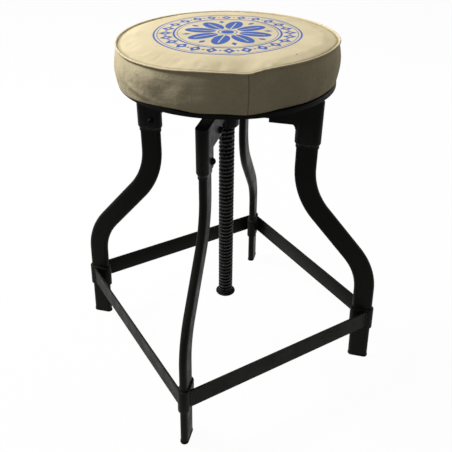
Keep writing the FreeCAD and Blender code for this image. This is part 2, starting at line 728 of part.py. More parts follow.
def seat_flange():
    body = new_body("seat_flange")
    section = new_sketch(body, "XZ_Plane", "flange_section")
    bore = S.spigot_radius + S.pin_gap
    low = thread_top
    high = flange_plate_low + S.flange_thick
    neck = S.flange_boss + S.flange_fillet
    hollow = (1 - 1 / ROOT_TWO) * S.flange_fillet
    edge = S.flange_thick / 4
    outline(section, [(bore, low), (S.flange_boss, low), (S.flange_boss, flange_plate_low - S.flange_fillet),
                      (neck, flange_plate_low), (S.flange_radius - edge, flange_plate_low),
                      (S.flange_radius, flange_plate_low + edge), (S.flange_radius, high), (bore, high)],
            {2: hollow})
    revolve(body, section)
    doc.recompute()
    cross_hole(body, S.flange_boss)
    bolt_holes(body, flange_plate_low - S.flange_thick, 3 * S.flange_thick)


def bolt_holes(body, low, length, radius=S.seat_bolt + S.pin_gap):
    for place in bolt_places():
        start = place + Vector(0, 0, low.value)
        drill(body, body.Name + "_bolt_hole", radius, length, start, Vector(0, 0, 1))


def bolt_places():
    """The seat bolts' places round the screw axis, one over each leg."""
    spoke = Vector(S.bolt_circle.value, 0, 0)
    return [Rotation(Vector(0, 0, 1), angle).multVec(spoke) for angle in LEG_TURNS.values()]


def seat_pan():
    body = new_body("seat_pan")
    section = new_sketch(body, "XZ_Plane", "pan_section")
    top, low = pan_level, pan_level - S.pan_rim
    outer, inner = S.pan_radius, S.pan_radius - S.pan_thick
    under = top - S.pan_thick
    corner, tight = S.pan_corner, S.pan_corner - S.pan_thick
    rise = 1 - 1 / ROOT_TWO
    outline(section, [(0, under), (inner - tight, under), (inner, under - tight), (inner, low), (outer, low),
                      (outer, top - corner), (outer - corner, top), (0, top)],
            {1: rise * tight, 5: -rise * corner})
    revolve(body, section)
    doc.recompute()
    bolt_holes(body, under - S.pan_thick, 3 * S.pan_thick)


def seat_board():
    body = new_body("seat_board")
    section = new_sketch(body, "XZ_Plane", "board_section")
    edge = S.board_thick / 6
    outline(section, [(0, board_low), (board_radius - edge, board_low), (board_radius, board_low + edge),
                      (board_radius, board_high - edge), (board_radius - edge, board_high), (0, board_high)])
    revolve(body, section)
    doc.recompute()
    bolt_holes(body, board_low - S.board_thick, 3 * S.board_thick, S.nut_barrel + S.nut_gap)
    bolt_holes(body, board_high - S.nut_flange_thick - S.nut_gap, S.board_thick, S.nut_flange + S.nut_gap)


def cover_band():
    body = new_body("cover_band")
    section = new_sketch(body, "XZ_Plane", "band_section")
    hem_top = band_foot + S.canvas
    outline(section, [(hem_inner, band_foot), (band_low, band_foot), (seam_radius, band_head),
                      (seam_radius - S.canvas, band_head), (band_low - S.canvas, hem_top),
                      (hem_inner, hem_top)],
            {1: -S.band_belly, 3: as_size(S.band_belly)})
    revolve(body, section)


def cover_top():
    body = new_body("cover_top")
    section = new_sketch(body, "XZ_Plane", "top_section")
    reach = seam_radius - 2 * S.welt_radius - S.soft_gap
    rise = crown_rise(reach)
    outline(section, [(0, top_edge + S.crown - S.canvas), (S.crown_flat, top_edge + S.crown - S.canvas),
                      (reach, top_edge - S.canvas), (reach, top_edge),
                      (S.crown_flat, top_edge + S.crown), (0, top_edge + S.crown)], {1: rise, 3: -rise})
    revolve(body, section)


def crown_rise(reach):
    """The rise of the arc over the cushion that leaves the level middle smoothly and ends at the rim."""
    run = reach - S.crown_flat
    chord = square_root(squared(run) + squared(S.crown))
    return chord / 2 * turned_by("tan", slope_of(S.crown / run) / 2)


def welt():
    body = new_body("welt")
    ring = body.newObject("PartDesign::AdditiveTorus", "welt_cord")
    bind(ring, "Radius1", seam_radius - S.welt_radius)
    bind(ring, "Radius2", S.welt_radius)
    ring.Placement = Placement(Vector(0, 0, seam_level.value), Rotation())
    ring.setExpression(".Placement.Base.z", seam_level.text)


def foam_pad():
    body = new_body("foam_pad")
    section = new_sketch(body, "XZ_Plane", "foam_section")
    low = board_high + S.soft_gap
    side = seam_radius - foam_side
    shoulder = band_head - S.canvas
    top_reach = seam_radius - 2 * S.welt_radius - 3 * S.soft_gap
    high = top_edge + S.crown - foam_side
    outline(section, [(0, low), (band_low - foam_side, low), (side, shoulder),
                      (top_reach, top_edge - foam_side), (S.crown_flat, high), (0, high)],
            {1: -S.band_belly, 3: -crown_rise(top_reach)})
    revolve(body, section)


def bracket_screw():
    """A domed socket screw along Z, its head's seat at Z = 0 and its shank going down."""
    radius, tall = S.dome_radius.value, S.dome_tall.value
    rim, top, seat = Vector(radius, 0, 0), Vector(0, 0, tall), Vector(0, 0, 0)
    middle = (rim + top) / ROOT_TWO
    profile = [Part.Arc(rim, middle, top).toShape(), Part.makeLine(top, seat), Part.makeLine(seat, rim)]
    head = Part.Face(Part.Wire(profile)).revolve(seat, Vector(0, 0, 1), 360)
    shank = Part.makeCylinder(S.pin_radius.value, S.pin_long.value, seat, Vector(0, 0, -1))
    socket = hexagon(S.socket_wide.value, tall)
    socket.translate(Vector(0, 0, tall - S.socket_deep.value))
    return head.fuse(shank).cut(socket).removeSplitter()


def bracket_screws():
    solids = []
    for angle in LEG_TURNS.values():
        for across, level in (leg_pin, arm_pin):
            solid = bracket_screw()
            seat = Vector(across.value, sleeve_narrow.value / 2, level.value)
            stand = Placement(seat, Rotation(Vector(0, 0, 1), Vector(0, 1, 0)))
            turn = Placement(Vector(0, 0, 0), Rotation(Vector(0, 0, 1), angle))
            solid.Placement = turn.multiply(stand)
            solids.append(solid)
    node("bracket_screws", Part.makeCompound(solids))


def cross_pin():
    pin = doc.addObject("Part::Cylinder", "cross_pin")
    pin.Label = "cross_pin"
    bind(pin, "Radius", S.cross_pin_radius)
    bind(pin, "Height", 2 * S.flange_boss)
    start = Vector(-S.flange_boss.value, 0, (thread_top + S.cross_pin_rise).value)
    pin.Placement = Placement(start, Rotation(Vector(0, 0, 1), Vector(1, 0, 0)))


def seat_bolts():
    head_top = flange_plate_low.value
    head_tall = S.seat_bolt_head_tall.value
    tip = (board_high - S.nut_flange_thick).value
    head = hexagon(S.seat_bolt_head.value, head_tall)
    head.translate(Vector(0, 0, head_top - head_tall))
    shank = Part.makeCylinder(S.seat_bolt.value, tip - head_top, Vector(0, 0, head_top))
    node("seat_bolts", Part.makeCompound(on_bolt_circle(head.fuse(shank).removeSplitter())))


def tee_nuts():
    top, low = board_high.value, board_low.value
    thick = S.nut_flange_thick.value
    flange = Part.makeCylinder(S.nut_flange.value, thick, Vector(0, 0, top - thick))
    barrel = Part.makeCylinder(S.nut_barrel.value, top - thick - low, Vector(0, 0, low))
    bore = Part.makeCylinder((S.seat_bolt + S.pin_gap).value, top, Vector(0, 0, low - thick))
    node("tee_nuts", Part.makeCompound(on_bolt_circle(flange.fuse(barrel).cut(bore).removeSplitter())))


def on_bolt_circle(shape):
    """Copies of a shape made on the screw axis, one at each seat bolt."""
    copies = []
    for place in bolt_places():
        copy = shape.copy()
        copy.translate(place)
        copies.append(copy)
    return copies


for corner_name, corner_turn in LEG_TURNS.items():
    leg("leg_" + corner_name, corner_turn)
    foot_plug("foot_plug_" + corner_name, corner_turn)
    collar("collar_" + corner_name, corner_turn)
    bracket("bracket_" + corner_name, corner_turn)
    arm("arm_" + corner_name, corner_turn)
for side_name, side_turn in BAR_TURNS.items():
    foot_bar("foot_bar_" + side_name, side_turn)
hub()
screw()
stop_washer()
stop_bolt()
seat_flange()
cross_pin()
seat_pan()
seat_board()
foam_pad()
cover_band()
cover_top()
welt()
bracket_screws()
seat_bolts()
tee_nuts()
doc.recompute()

for thing in doc.Objects:
    if "Invalid" in thing.State or "Error" in thing.State:
        raise RuntimeError("%s did not build: %s" % (thing.Name, thing.State))
pieces = [thing for thing in doc.Objects
          if thing.TypeId in ("PartDesign::Body", "Part::Cylinder")
          or (thing.TypeId == "Part::Feature" and not thing.InList)]
for piece in pieces:
    if piece.Shape.isNull() or not piece.Shape.isValid() or not piece.Shape.Solids:
        raise RuntimeError("%s has no sound solid" % piece.Label)
os.makedirs("parts", exist_ok=True)
for piece in pieces:
    piece.Shape.exportStep("parts/%s.step" % piece.Label)
    print("%-26s solids %d volume %.0f" % (piece.Label, len(piece.Shape.Solids), piece.Shape.Volume))
print(len(pieces), "pieces")
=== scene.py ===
import math

import bpy
from bpy.props import FloatProperty, FloatVectorProperty, IntProperty, PointerProperty
from bpy.types import Operator, Panel, PropertyGroup
from mathutils import Matrix, Vector, noise


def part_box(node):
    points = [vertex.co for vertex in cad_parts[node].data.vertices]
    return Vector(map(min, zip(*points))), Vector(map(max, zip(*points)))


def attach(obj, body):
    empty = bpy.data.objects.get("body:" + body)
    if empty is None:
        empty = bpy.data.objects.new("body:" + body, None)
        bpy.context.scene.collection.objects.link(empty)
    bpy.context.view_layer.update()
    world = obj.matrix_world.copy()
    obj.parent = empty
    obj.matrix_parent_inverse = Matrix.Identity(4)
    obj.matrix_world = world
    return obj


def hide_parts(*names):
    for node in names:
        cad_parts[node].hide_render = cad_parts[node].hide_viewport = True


bl_info = {
    "name": "Workshop Screw Stool",
    "version": (1, 0, 0),
    "blender": (4, 5, 0),
    "location": "View3D > Sidebar > Stool",
    "description": "Dresses a screw-adjusted workshop stool with its canvas seat and enamelled frame",
    "category": "Add Mesh",
}

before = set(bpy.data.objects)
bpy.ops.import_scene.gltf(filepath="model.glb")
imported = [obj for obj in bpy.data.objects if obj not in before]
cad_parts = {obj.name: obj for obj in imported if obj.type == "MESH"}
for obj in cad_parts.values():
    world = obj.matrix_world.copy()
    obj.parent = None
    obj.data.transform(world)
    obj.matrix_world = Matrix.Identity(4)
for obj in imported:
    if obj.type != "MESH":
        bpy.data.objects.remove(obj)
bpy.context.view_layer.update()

CORNERS = ("front_left", "front_right", "back_right", "back_left")
SIDES = ("front", "right", "back", "left")

# Places of the solids that the scene's own pieces follow. All lengths are in metres.
PAN_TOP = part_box("seat_pan")[1][2]
BAND_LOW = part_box("cover_band")[0][2]
BAND_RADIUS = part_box("cover_band")[1][0]
CROWN_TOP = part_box("cover_top")[1][2]
SEAM_LEVEL = (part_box("welt")[0][2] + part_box("welt")[1][2]) / 2
SEAM_INSET = 0.0021  # from the cord's outside to the middle of the ridge
SEAM_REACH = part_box("welt")[1][0] - SEAM_INSET
FOOT_INSET = 0.0016  # from the pan's outside to the cover's lower edge
FOOT_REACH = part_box("seat_pan")[1][0] - FOOT_INSET
LIP_HEIGHT = 0.0052  # from a bracket's lowest point to the painted bright ring, a painted reflection, on its leg sleeve
LIP_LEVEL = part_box("bracket_front_left")[0][2] + LIP_HEIGHT

# How the hand-sewn cover leaves its ideal round: turn from +X in degrees, then millimetres
SEAM_LIFT = ((-180, -5.5), (-165, -4.5), (-150, -3.2), (-134, -0.8), (-121, -1.0), (-112, -2.0),
             (-105, 1.4), (-98, 3.0), (-86, 3.6), (-68, 4.6), (-52, 4.6), (-38, 2.6), (-15, 0.8),
             (30, -0.6), (80, -1.6), (130, -3.4), (160, -4.8))
FOOT_LIFT = ((-180, -4.6), (-172, -3.4), (-160, -0.8), (-146, 0.9), (-134, -0.4), (-122, 0.4),
             (-112, -1.3), (-102, 0.3), (-95, 1.6), (-79, 1.0), (-68, 1.0), (-55, 0.4), (-42, -1.0),
             (-28, -3.0), (-8, -4.2), (30, -4.2), (70, -3.2), (100, -2.6), (140, -3.4), (165, -4.4))
FOOT_OUT = ((-180, 2.6), (-165, 2.0), (-148, 0.6), (-134, 0.5), (-118, 0.7), (-104, 0.2), (-92, -1.2),
            (-75, -1.5), (-58, -1.2), (-44, 0.4), (-30, 2.2), (-8, 2.6), (30, 2.6), (70, 2.4),
            (100, 2.3), (140, 2.5), (165, 2.6))

# Bulges and hollows of the side: turn and spread in degrees, height and reach as shares of the side's
# height, depth in millimetres
BULGES = ((-163, 9, 0.72, 0.22, 1.0), (-146, 9, 0.62, 0.17, -1.0), (-137, 10, 0.20, 0.22, 2.1),
          (-152, 7, 0.30, 0.20, -0.7), (-117, 4, 0.62, 0.40, 0.8), (-124, 4, 0.55, 0.30, -0.8),
          (-119, 4, 0.20, 0.18, 0.7), (-70, 12, 0.50, 0.35, -0.5), (-40, 10, 0.45, 0.35, 0.6))


class Surface(PropertyGroup):
    """Colours of the finishes."""

    canvas: FloatVectorProperty(name="Canvas", description="Natural canvas of the seat", subtype="COLOR",
                                size=3, min=0, max=1, default=(0.89, 0.768, 0.505))
    ink: FloatVectorProperty(name="Print", description="Printed ink on the seat", subtype="COLOR",
                             size=3, min=0, max=1, default=(0.062, 0.150, 0.520))
    enamel: FloatVectorProperty(name="Enamel", description="Enamel of the tube frame", subtype="COLOR",
                                size=3, min=0, max=1, default=(0.0040, 0.0041, 0.0034))
    blackened: FloatVectorProperty(name="Blackened steel", description="Oiled black steel of the post",
                                   subtype="COLOR", size=3, min=0, max=1, default=(0.012, 0.012, 0.012))


class Cushion(PropertyGroup):
    """Sizes of the padded seat."""

    columns: IntProperty(name="Columns", description="Divisions round the cushion", default=288, min=48,
                         max=480)
    belly: FloatProperty(name="Belly", description="How far the side swells past its seam", default=0.0040,
                         unit="LENGTH")
    dents: FloatProperty(name="Dents", description="Depth of the soft dents", default=0.0009, unit="LENGTH")
    pressure: FloatProperty(name="Stuffing", description="Pressure that fills the sewn cover", default=3.0)
    give: FloatProperty(name="Give", description="How far stuffing may move the cloth", default=0.0016,
                        unit="LENGTH")
    seam_at: FloatProperty(name="Side seam", description="Where the side band is joined, from +X",
                           default=math.radians(-112.0), subtype="ANGLE")
    weave: FloatProperty(name="Weave", description="Distance between threads of the canvas",
                         default=0.00075, unit="LENGTH")


class Print(PropertyGroup):
    """Sizes of the printed rosette."""

    outer: FloatProperty(name="Outer ring", description="Radius of the outer ring", default=0.107,
                         unit="LENGTH")
    inner: FloatProperty(name="Inner ring", description="Radius of the inner ring", default=0.078,
                         unit="LENGTH")
    lozenges: IntProperty(name="Lozenges", description="Lozenges between the rings", default=24, min=6,
                          max=60)
    petals: IntProperty(name="Petals", description="Petals in the middle", default=8, min=3, max=16)


class Viewpoint(PropertyGroup):
    """Where the photograph was taken from."""

    distance: FloatProperty(name="Distance", description="Camera to the post, along the floor",
                            default=0.8755, unit="LENGTH")
    height: FloatProperty(name="Height", description="Camera above the floor", default=0.805,
                          unit="LENGTH")
    heading: FloatProperty(name="Heading", description="Direction that the camera looks in, from +Y",
                           default=math.radians(-31.34), subtype="ANGLE")
    pitch: FloatProperty(name="Pitch", description="How far the camera looks down",
                         default=math.radians(32.68), subtype="ANGLE")
    roll: FloatProperty(name="Roll", description="Turn about the line of sight",
                        default=math.radians(0.50), subtype="ANGLE")
    lens: FloatProperty(name="Lens", description="Focal length on a 36 mm frame, in millimetres",
                        default=47.33)


def settings(name):
    return getattr(bpy.context.scene, "stool_" + name)


# Shader maths

class Wire:
    """A node socket that takes part in Python expressions."""

    def __init__(self, tree, socket):
        self.tree = tree
        self.socket = socket

    def maths(self, operation, *others):
        return self.tree.node("ShaderNodeMath", {"operation": operation}, [self, *others])

    def __add__(self, other):
        return self.maths("ADD", other)

    def __radd__(self, other):
        return self.maths("ADD", other)

    def __sub__(self, other):
        return self.maths("SUBTRACT", other)

    def __rsub__(self, other):
        return self.tree.node("ShaderNodeMath", {"operation": "SUBTRACT"}, [other, self])

    def __mul__(self, other):
        return self.maths("MULTIPLY", other)

    def __rmul__(self, other):
        return self.maths("MULTIPLY", other)

    def __truediv__(self, other):
        return self.maths("DIVIDE", other)

    def __abs__(self):
        return self.maths("ABSOLUTE")

    def sine(self):
        return self.maths("SINE")

    def square(self):
        return self.maths("POWER", 2.0)

    def root(self):
        return self.maths("SQRT")

    def most(self, other):
        return self.maths("MAXIMUM", other)

    def wrapped(self, period):
        """The distance to the nearest multiple of a period, with its sign."""
        return self.maths("WRAP", period / 2, -period / 2)

    def waves(self, length):
        """A sine wave of a length, in the value's own unit."""
        return (self * (2 * math.pi / length)).sine()

    def inside(self, edge, softness):
        """1 where the value is under an edge, 0 where it is over, with a soft change between."""
        return self.tree.ramp(self, edge - softness, edge + softness, 1.0, 0.0)


class Tree:
    """The nodes of a material or of the world."""

    def __init__(self, owner):
        owner.use_nodes = True
        self.owner = owner
        self.nodes = owner.node_tree.nodes
        self.links = owner.node_tree.links

    def node(self, kind, options=None, inputs=(), output=0):
        """A node with its settings, then its inputs in order or by name."""
        item = self.nodes.new(kind)
        for key, value in (options or {}).items():
            setattr(item, key, value)
        pairs = inputs.items() if isinstance(inputs, dict) else enumerate(inputs)
        for key, value in pairs:
            if value is not None:
                self.connect(item.inputs[key], value)
        return Wire(self, item.outputs[output])

    def connect(self, socket, value):
        if isinstance(value, Wire):
            self.links.new(value.socket, socket)
        elif socket.type == "RGBA":
            socket.default_value = (*value, 1.0)
        else:
            socket.default_value = value

    def place(self):
        """The object coordinates, as one vector and as three numbers."""
        vector = self.node("ShaderNodeTexCoord", output="Object")
        split = self.nodes.new("ShaderNodeSeparateXYZ")
        self.connect(split.inputs[0], vector)
        return vector, [Wire(self, socket) for socket in split.outputs]

    def turn(self, x, y):
        """The turn about the post's axis, from +X."""
        return self.node("ShaderNodeMath", {"operation": "ARCTAN2"}, [y, x])

    def noise(self, vector, size, detail=3.0, roughness=0.5):
        """Noise from 0 to 1 with features of a size in metres."""
        return self.node("ShaderNodeTexNoise", {"noise_dimensions": "3D"},
                         {"Vector": vector, "Scale": 1.0 / size, "Detail": detail, "Roughness": roughness})

    def streaks(self, across, along, size):
        """Noise of a size in metres, read at two numbers, so that it can be drawn out along a thread."""
        place = self.node("ShaderNodeCombineXYZ", {}, [across, along])
        return self.noise(place, size, detail=2.0)

    def mix(self, factor, first, second):
        """Mixes two colours."""
        item = self.nodes.new("ShaderNodeMix")
        item.data_type = "RGBA"
        for key, value in ((0, factor), (6, first), (7, second)):
            self.connect(item.inputs[key], value)
        return Wire(self, item.outputs[2])

    def ramp(self, value, low, high, low_out=0.0, high_out=1.0):
        """Goes smoothly from one number to another while a value goes from low to high."""
        return self.node("ShaderNodeMapRange", {"interpolation_type": "SMOOTHSTEP"},
                         [value, low, high, low_out, high_out])

    def bump(self, height, distance, strength, normal=None):
        return self.node("ShaderNodeBump", {}, {"Height": height, "Distance": distance,
                                                "Strength": strength, "Normal": normal})

    def seen(self):
        """1 for what the camera sees, also in a mirror or through glass, 0 for light on its way."""
        path = self.nodes.new("ShaderNodeLightPath")
        camera, glossy, glass = (Wire(self, path.outputs[f"Is {kind} Ray"])
                                 for kind in ("Camera", "Glossy", "Transmission"))
        return camera.most(glossy).most(glass)

    def finish(self, **values):
        """Sets or links the sockets of the material's own shader."""
        for key, value in values.items():
            self.connect(self.nodes["Principled BSDF"].inputs[key.replace("_", " ")], value)
        return self.owner


def finish_tree(name):
    return Tree(bpy.data.materials.new(name + "_finish"))


def distance(x, y):
    """The distance of a place from an axis, for wires."""
    return (x.square() + y.square()).root()


def grey(level):
    return (level, level, level)


def toned(colour, factors, added=grey(0.0)):
    """A colour with its channels multiplied and added to, none above 1."""
    return [min(1.0, channel * factor + more) for channel, factor, more in zip(colour, factors, added)]


# Colours of wear, of painted floor bounce, reflection and highlight, and of the small parts' finishes
WHITE = grey(1.0)
DUST_AND_FLOOR_BOUNCE = (0.027, 0.02673, 0.02268)
PAINTED_LIP_REFLECTION = (0.105, 0.101, 0.091)
RUBBED_CREST_AND_HIGHLIGHT = (0.105, 0.102, 0.096)
PLASTIC, SCUFFED_PLASTIC = grey(0.0045), (0.040, 0.038, 0.033)
BIRCH_DARK, BIRCH_LIGHT = (0.52, 0.38, 0.23), (0.66, 0.52, 0.35)
PLY_DARK, PLY_LIGHT = (0.36, 0.24, 0.14), (0.62, 0.47, 0.30)
ZINC_DULL, ZINC_BRIGHT = grey(0.50), (0.66, 0.65, 0.62)
SEED_FLECK, SEED_SPOT = (0.16, 0.12, 0.07), (0.10, 0.07, 0.03)

# Where and how finely the finishes change, in metres
DUST_AND_BOUNCE_LEVELS = (0.08, 0.44)  # heights between which the dust and the painted floor bounce fade out
FOOT_SCUFFS = (0.0005, 0.005)  # heights between which the feet's scuffs fade out
LIP_HALF = 0.0016  # half the height of the painted bright ring, a painted reflection, on a leg sleeve
WELD_RIPPLE = 0.0016
CREST_RADII = (0.0119, 0.0126)  # between which the thread's crests are rubbed bright and carry a painted highlight
GROOVE_RADII = (0.0098, 0.0112)  # between which the painted shade of the thread's groove gives way to the steel's colour
TURNING_MARKS = 0.0004
TWO_PLIES = 0.0034
BOARD_EDGE = (0.1590, 0.1600)


def enamel_material(name="frame_enamel", shade=1.0, rough=0.40):
    """Satin black enamel with a faint orange peel, rubbed spots, a lighter base near the floor that is
    partly dust and partly painted floor bounce, and a painted reflection ring on the leg sleeves.
    """
    tree = finish_tree(name)
    vector, (_, _, z) = tree.place()
    colour = toned(settings("surface").enamel, grey(shade))
    peel = tree.noise(vector, size=0.0022, detail=2.0)
    cloud = tree.noise(vector, size=0.030, detail=4.0, roughness=0.6)
    grit = tree.noise(vector, size=0.0045, detail=5.0, roughness=0.7)
    # Lighter near the floor: partly dust, partly painted floor bounce
    near_floor = tree.ramp(z, *DUST_AND_BOUNCE_LEVELS, 1.0, 0.0)
    lighter_near_floor = tree.ramp(cloud * 0.6 + grit * 0.4, 0.34, 0.64, 0.25, 1.0) * near_floor
    worn = tree.ramp(grit * 0.6 + cloud * 0.4, 0.62, 0.72)
    base = tree.mix(lighter_near_floor * 0.80, colour, toned(colour, grey(2.2), DUST_AND_FLOOR_BOUNCE))
    base = tree.mix(worn * 0.5, base, toned(colour, grey(2.0), grey(0.010)))
    if name == "frame_enamel":
        # Painted reflection: a bright ring where the sleeve's lower lip would catch the floor
        lip = abs(z - LIP_LEVEL).inside(LIP_HALF, LIP_HALF / 2) * tree.ramp(grit, 0.35, 0.6)
        base = tree.mix(lip * 0.9, base, PAINTED_LIP_REFLECTION)
    roughness = tree.ramp(cloud, 0.3, 0.7, rough - 0.05, rough + 0.10) + worn * 0.12 + lighter_near_floor * 0.10
    normal = tree.bump(peel, distance=0.00006, strength=0.5)
    normal = tree.bump(cloud, distance=0.0006, strength=0.25, normal=normal)
    return tree.finish(Base_Color=base, Roughness=roughness, Normal=normal, Specular_IOR_Level=0.055)


def weld_material():
    """Enamelled weld: fine ripples across the bead."""
    tree = finish_tree("weld_enamel")
    vector, (_, _, z) = tree.place()
    colour = list(settings("surface").enamel)
    grit = tree.noise(vector, size=0.0020, detail=4.0, roughness=0.7)
    ripple = z.waves(WELD_RIPPLE) + grit
    base = tree.mix(tree.ramp(grit, 0.45, 0.7), colour, toned(colour, grey(2.0), grey(0.008)))
    return tree.finish(Base_Color=base, Roughness=tree.ramp(grit, 0.3, 0.7, 0.34, 0.55),
                       Normal=tree.bump(ripple, distance=0.00025, strength=0.7), Specular_IOR_Level=0.09)


def blackened_material(name="blackened_steel", rubbed_and_highlit=0.0):
    """Machined steel, blackened and oiled, with turning marks, painted shade inside the thread's groove
    radius and, on the post, crests rubbed bright with a painted highlight.
    """
    tree = finish_tree(name)
    vector, (x, y, z) = tree.place()
    radius = distance(x, y)
    colour = list(settings("surface").blackened)
    cloud = tree.noise(vector, size=0.012, detail=4.0, roughness=0.6)
    specks = tree.noise(vector, size=0.0016, roughness=0.7)
    crest = tree.ramp(radius, *CREST_RADII) * rubbed_and_highlit
    worn = tree.ramp(specks * 0.5 + cloud * 0.5, 0.30, 0.62, 0.45, 1.0) * crest
    # Painted shade: the groove is much darker than the steel
    out_of_groove = tree.ramp(radius, *GROOVE_RADII)
    base = tree.mix(out_of_groove, toned(colour, grey(0.15)), colour)
    # Crests rubbed bright, with a painted highlight on them
    base = tree.mix(worn * 0.38, base, RUBBED_CREST_AND_HIGHLIGHT)
    normal = tree.bump(z.waves(TURNING_MARKS) * 0.5 + specks, distance=0.00004, strength=0.4)
    return tree.finish(Base_Color=base, Roughness=tree.ramp(cloud, 0.3, 0.7, 0.32, 0.50), Normal=normal,
                       Metallic=crest * 0.6, Specular_IOR_Level=0.04)


def foot_material():
    """Moulded black plastic with fine grain and scuffs."""
    tree = finish_tree("foot_plastic")
    vector, (_, _, z) = tree.place()
    grain = tree.noise(vector, size=0.0011, detail=2.0)
    scuff = tree.noise(vector, size=0.006, detail=5.0, roughness=0.7)
    lighter_near_floor = tree.ramp(scuff, 0.52, 0.7) * tree.ramp(z, *FOOT_SCUFFS, 1.0, 0.25)
    return tree.finish(Base_Color=tree.mix(lighter_near_floor * 0.5, PLASTIC, SCUFFED_PLASTIC),
                       Roughness=tree.ramp(scuff, 0.3, 0.7, 0.5, 0.75),
                       Normal=tree.bump(grain, distance=0.00008, strength=0.6), Specular_IOR_Level=0.06)


def wood_material():
    """Birch plywood: long grain on the faces and plies on the edge."""
    tree = finish_tree("plywood")
    vector, (x, y, z) = tree.place()
    stretched = tree.node("ShaderNodeMapping", {}, {"Vector": vector, "Scale": (1.0, 14.0, 1.0)})
    grain = tree.noise(stretched, size=0.05, detail=5.0, roughness=0.6)
    face = tree.mix(grain, BIRCH_DARK, BIRCH_LIGHT)
    ply = tree.mix(tree.ramp(z.waves(TWO_PLIES), -0.4, 0.4), PLY_DARK, PLY_LIGHT)
    edge = tree.ramp(distance(x, y), *BOARD_EDGE)
    return tree.finish(Base_Color=tree.mix(edge, face, ply), Roughness=0.7,
                       Normal=tree.bump(grain, distance=0.0003, strength=0.4))


def zinc_material():
    """Bright zinc plate."""
    tree = finish_tree("zinc_hardware")
    vector, _ = tree.place()
    cloud = tree.noise(vector, size=0.002, detail=4.0, roughness=0.6)
    return tree.finish(Base_Color=tree.mix(cloud, ZINC_DULL, ZINC_BRIGHT), Metallic=1.0,
                       Roughness=tree.ramp(cloud, 0.3, 0.7, 0.3, 0.5))


# The rosette's lines: ring, how far inside it, and width. Its shapes are given by half their sizes.
PRINT_LINES = (("outer", 0.0, 0.0026), ("outer", 0.0048, 0.0012), ("inner", 0.0, 0.0030),
               ("inner", 0.0050, 0.0011))
INK_EDGE = 0.00035  # half the width of the ink's soft edge
BORDER_INSET = 0.0045  # of the lozenges' border from the outer ring
LOZENGE, LOZENGE_HOLE, DOT = 0.0104, 0.0036, 0.0021
PETAL_MIDDLE, PETAL_LENGTH, PETAL_WIDTH = 0.041, 0.0235, 0.0125
VEIN, VEIN_END = 0.0009, 0.0555
EYE, EYE_RING, EYE_RING_WIDTH = 0.0095, 0.0135, 0.0016
LEAF, LEAF_MIDDLE = 0.0065, 0.0600


def printed(radius, turn):
    """1 where the rosette's ink is, 0 on bare canvas."""
    design = settings("print")

    def ring(middle, width):
        return abs(radius - middle).inside(width / 2, INK_EDGE)

    def spoke(turn, count):
        """The place across and along the nearest of a number of spokes."""
        angle = turn.wrapped(2 * math.pi / count)
        return radius * angle.sine(), radius * (angle + math.pi / 2).sine()

    mask = ring(EYE_RING, EYE_RING_WIDTH).most(radius.inside(EYE, INK_EDGE))
    for name, inset, width in PRINT_LINES:
        mask = mask.most(ring(getattr(design, name) - inset, width))

    border = (design.outer - BORDER_INSET + design.inner) / 2
    step = 2 * math.pi / design.lozenges
    lozenge = abs(turn.wrapped(step) * border) * 1.25 + abs(radius - border)
    mask = mask.most(lozenge.inside(LOZENGE, INK_EDGE) - lozenge.inside(LOZENGE_HOLE, INK_EDGE))
    dot = distance((turn + step / 2).wrapped(step) * border, radius - border)
    mask = mask.most(dot.inside(DOT, INK_EDGE))

    across, along = spoke(turn, design.petals)
    petal = (across / PETAL_WIDTH).square() + ((along - PETAL_MIDDLE) / PETAL_LENGTH).square()
    petal = petal.inside(1.0, 0.04)
    vein = abs(across).inside(VEIN, INK_EDGE) * along.inside(VEIN_END, INK_EDGE)
    mask = mask.most(petal - petal * vein)
    across, along = spoke(turn + math.pi / design.petals, design.petals)
    leaf = abs(across) * 1.6 + abs(along - LEAF_MIDDLE) * 0.9
    return mask.most(leaf.inside(LEAF, INK_EDGE))


SIDE_RADII = (0.1585, 0.1600)  # between which the top's weave gives way to the side's
SPOT_PLACE, SPOT_SIZE = (0.0195, -0.1395), 0.0012  # a dark seed speck on the top
JOINT_HALF = 0.0009  # half the width of the side seam's dark line
SLUB, SLUB_STRETCH = 0.0013, 0.09  # thickness of the slubs, and how their noise is drawn out
CLOTH_ROUGHNESS, CLOTH_SPECULAR = 0.93, 0.08
STITCH = 0.0034  # length of two stitches


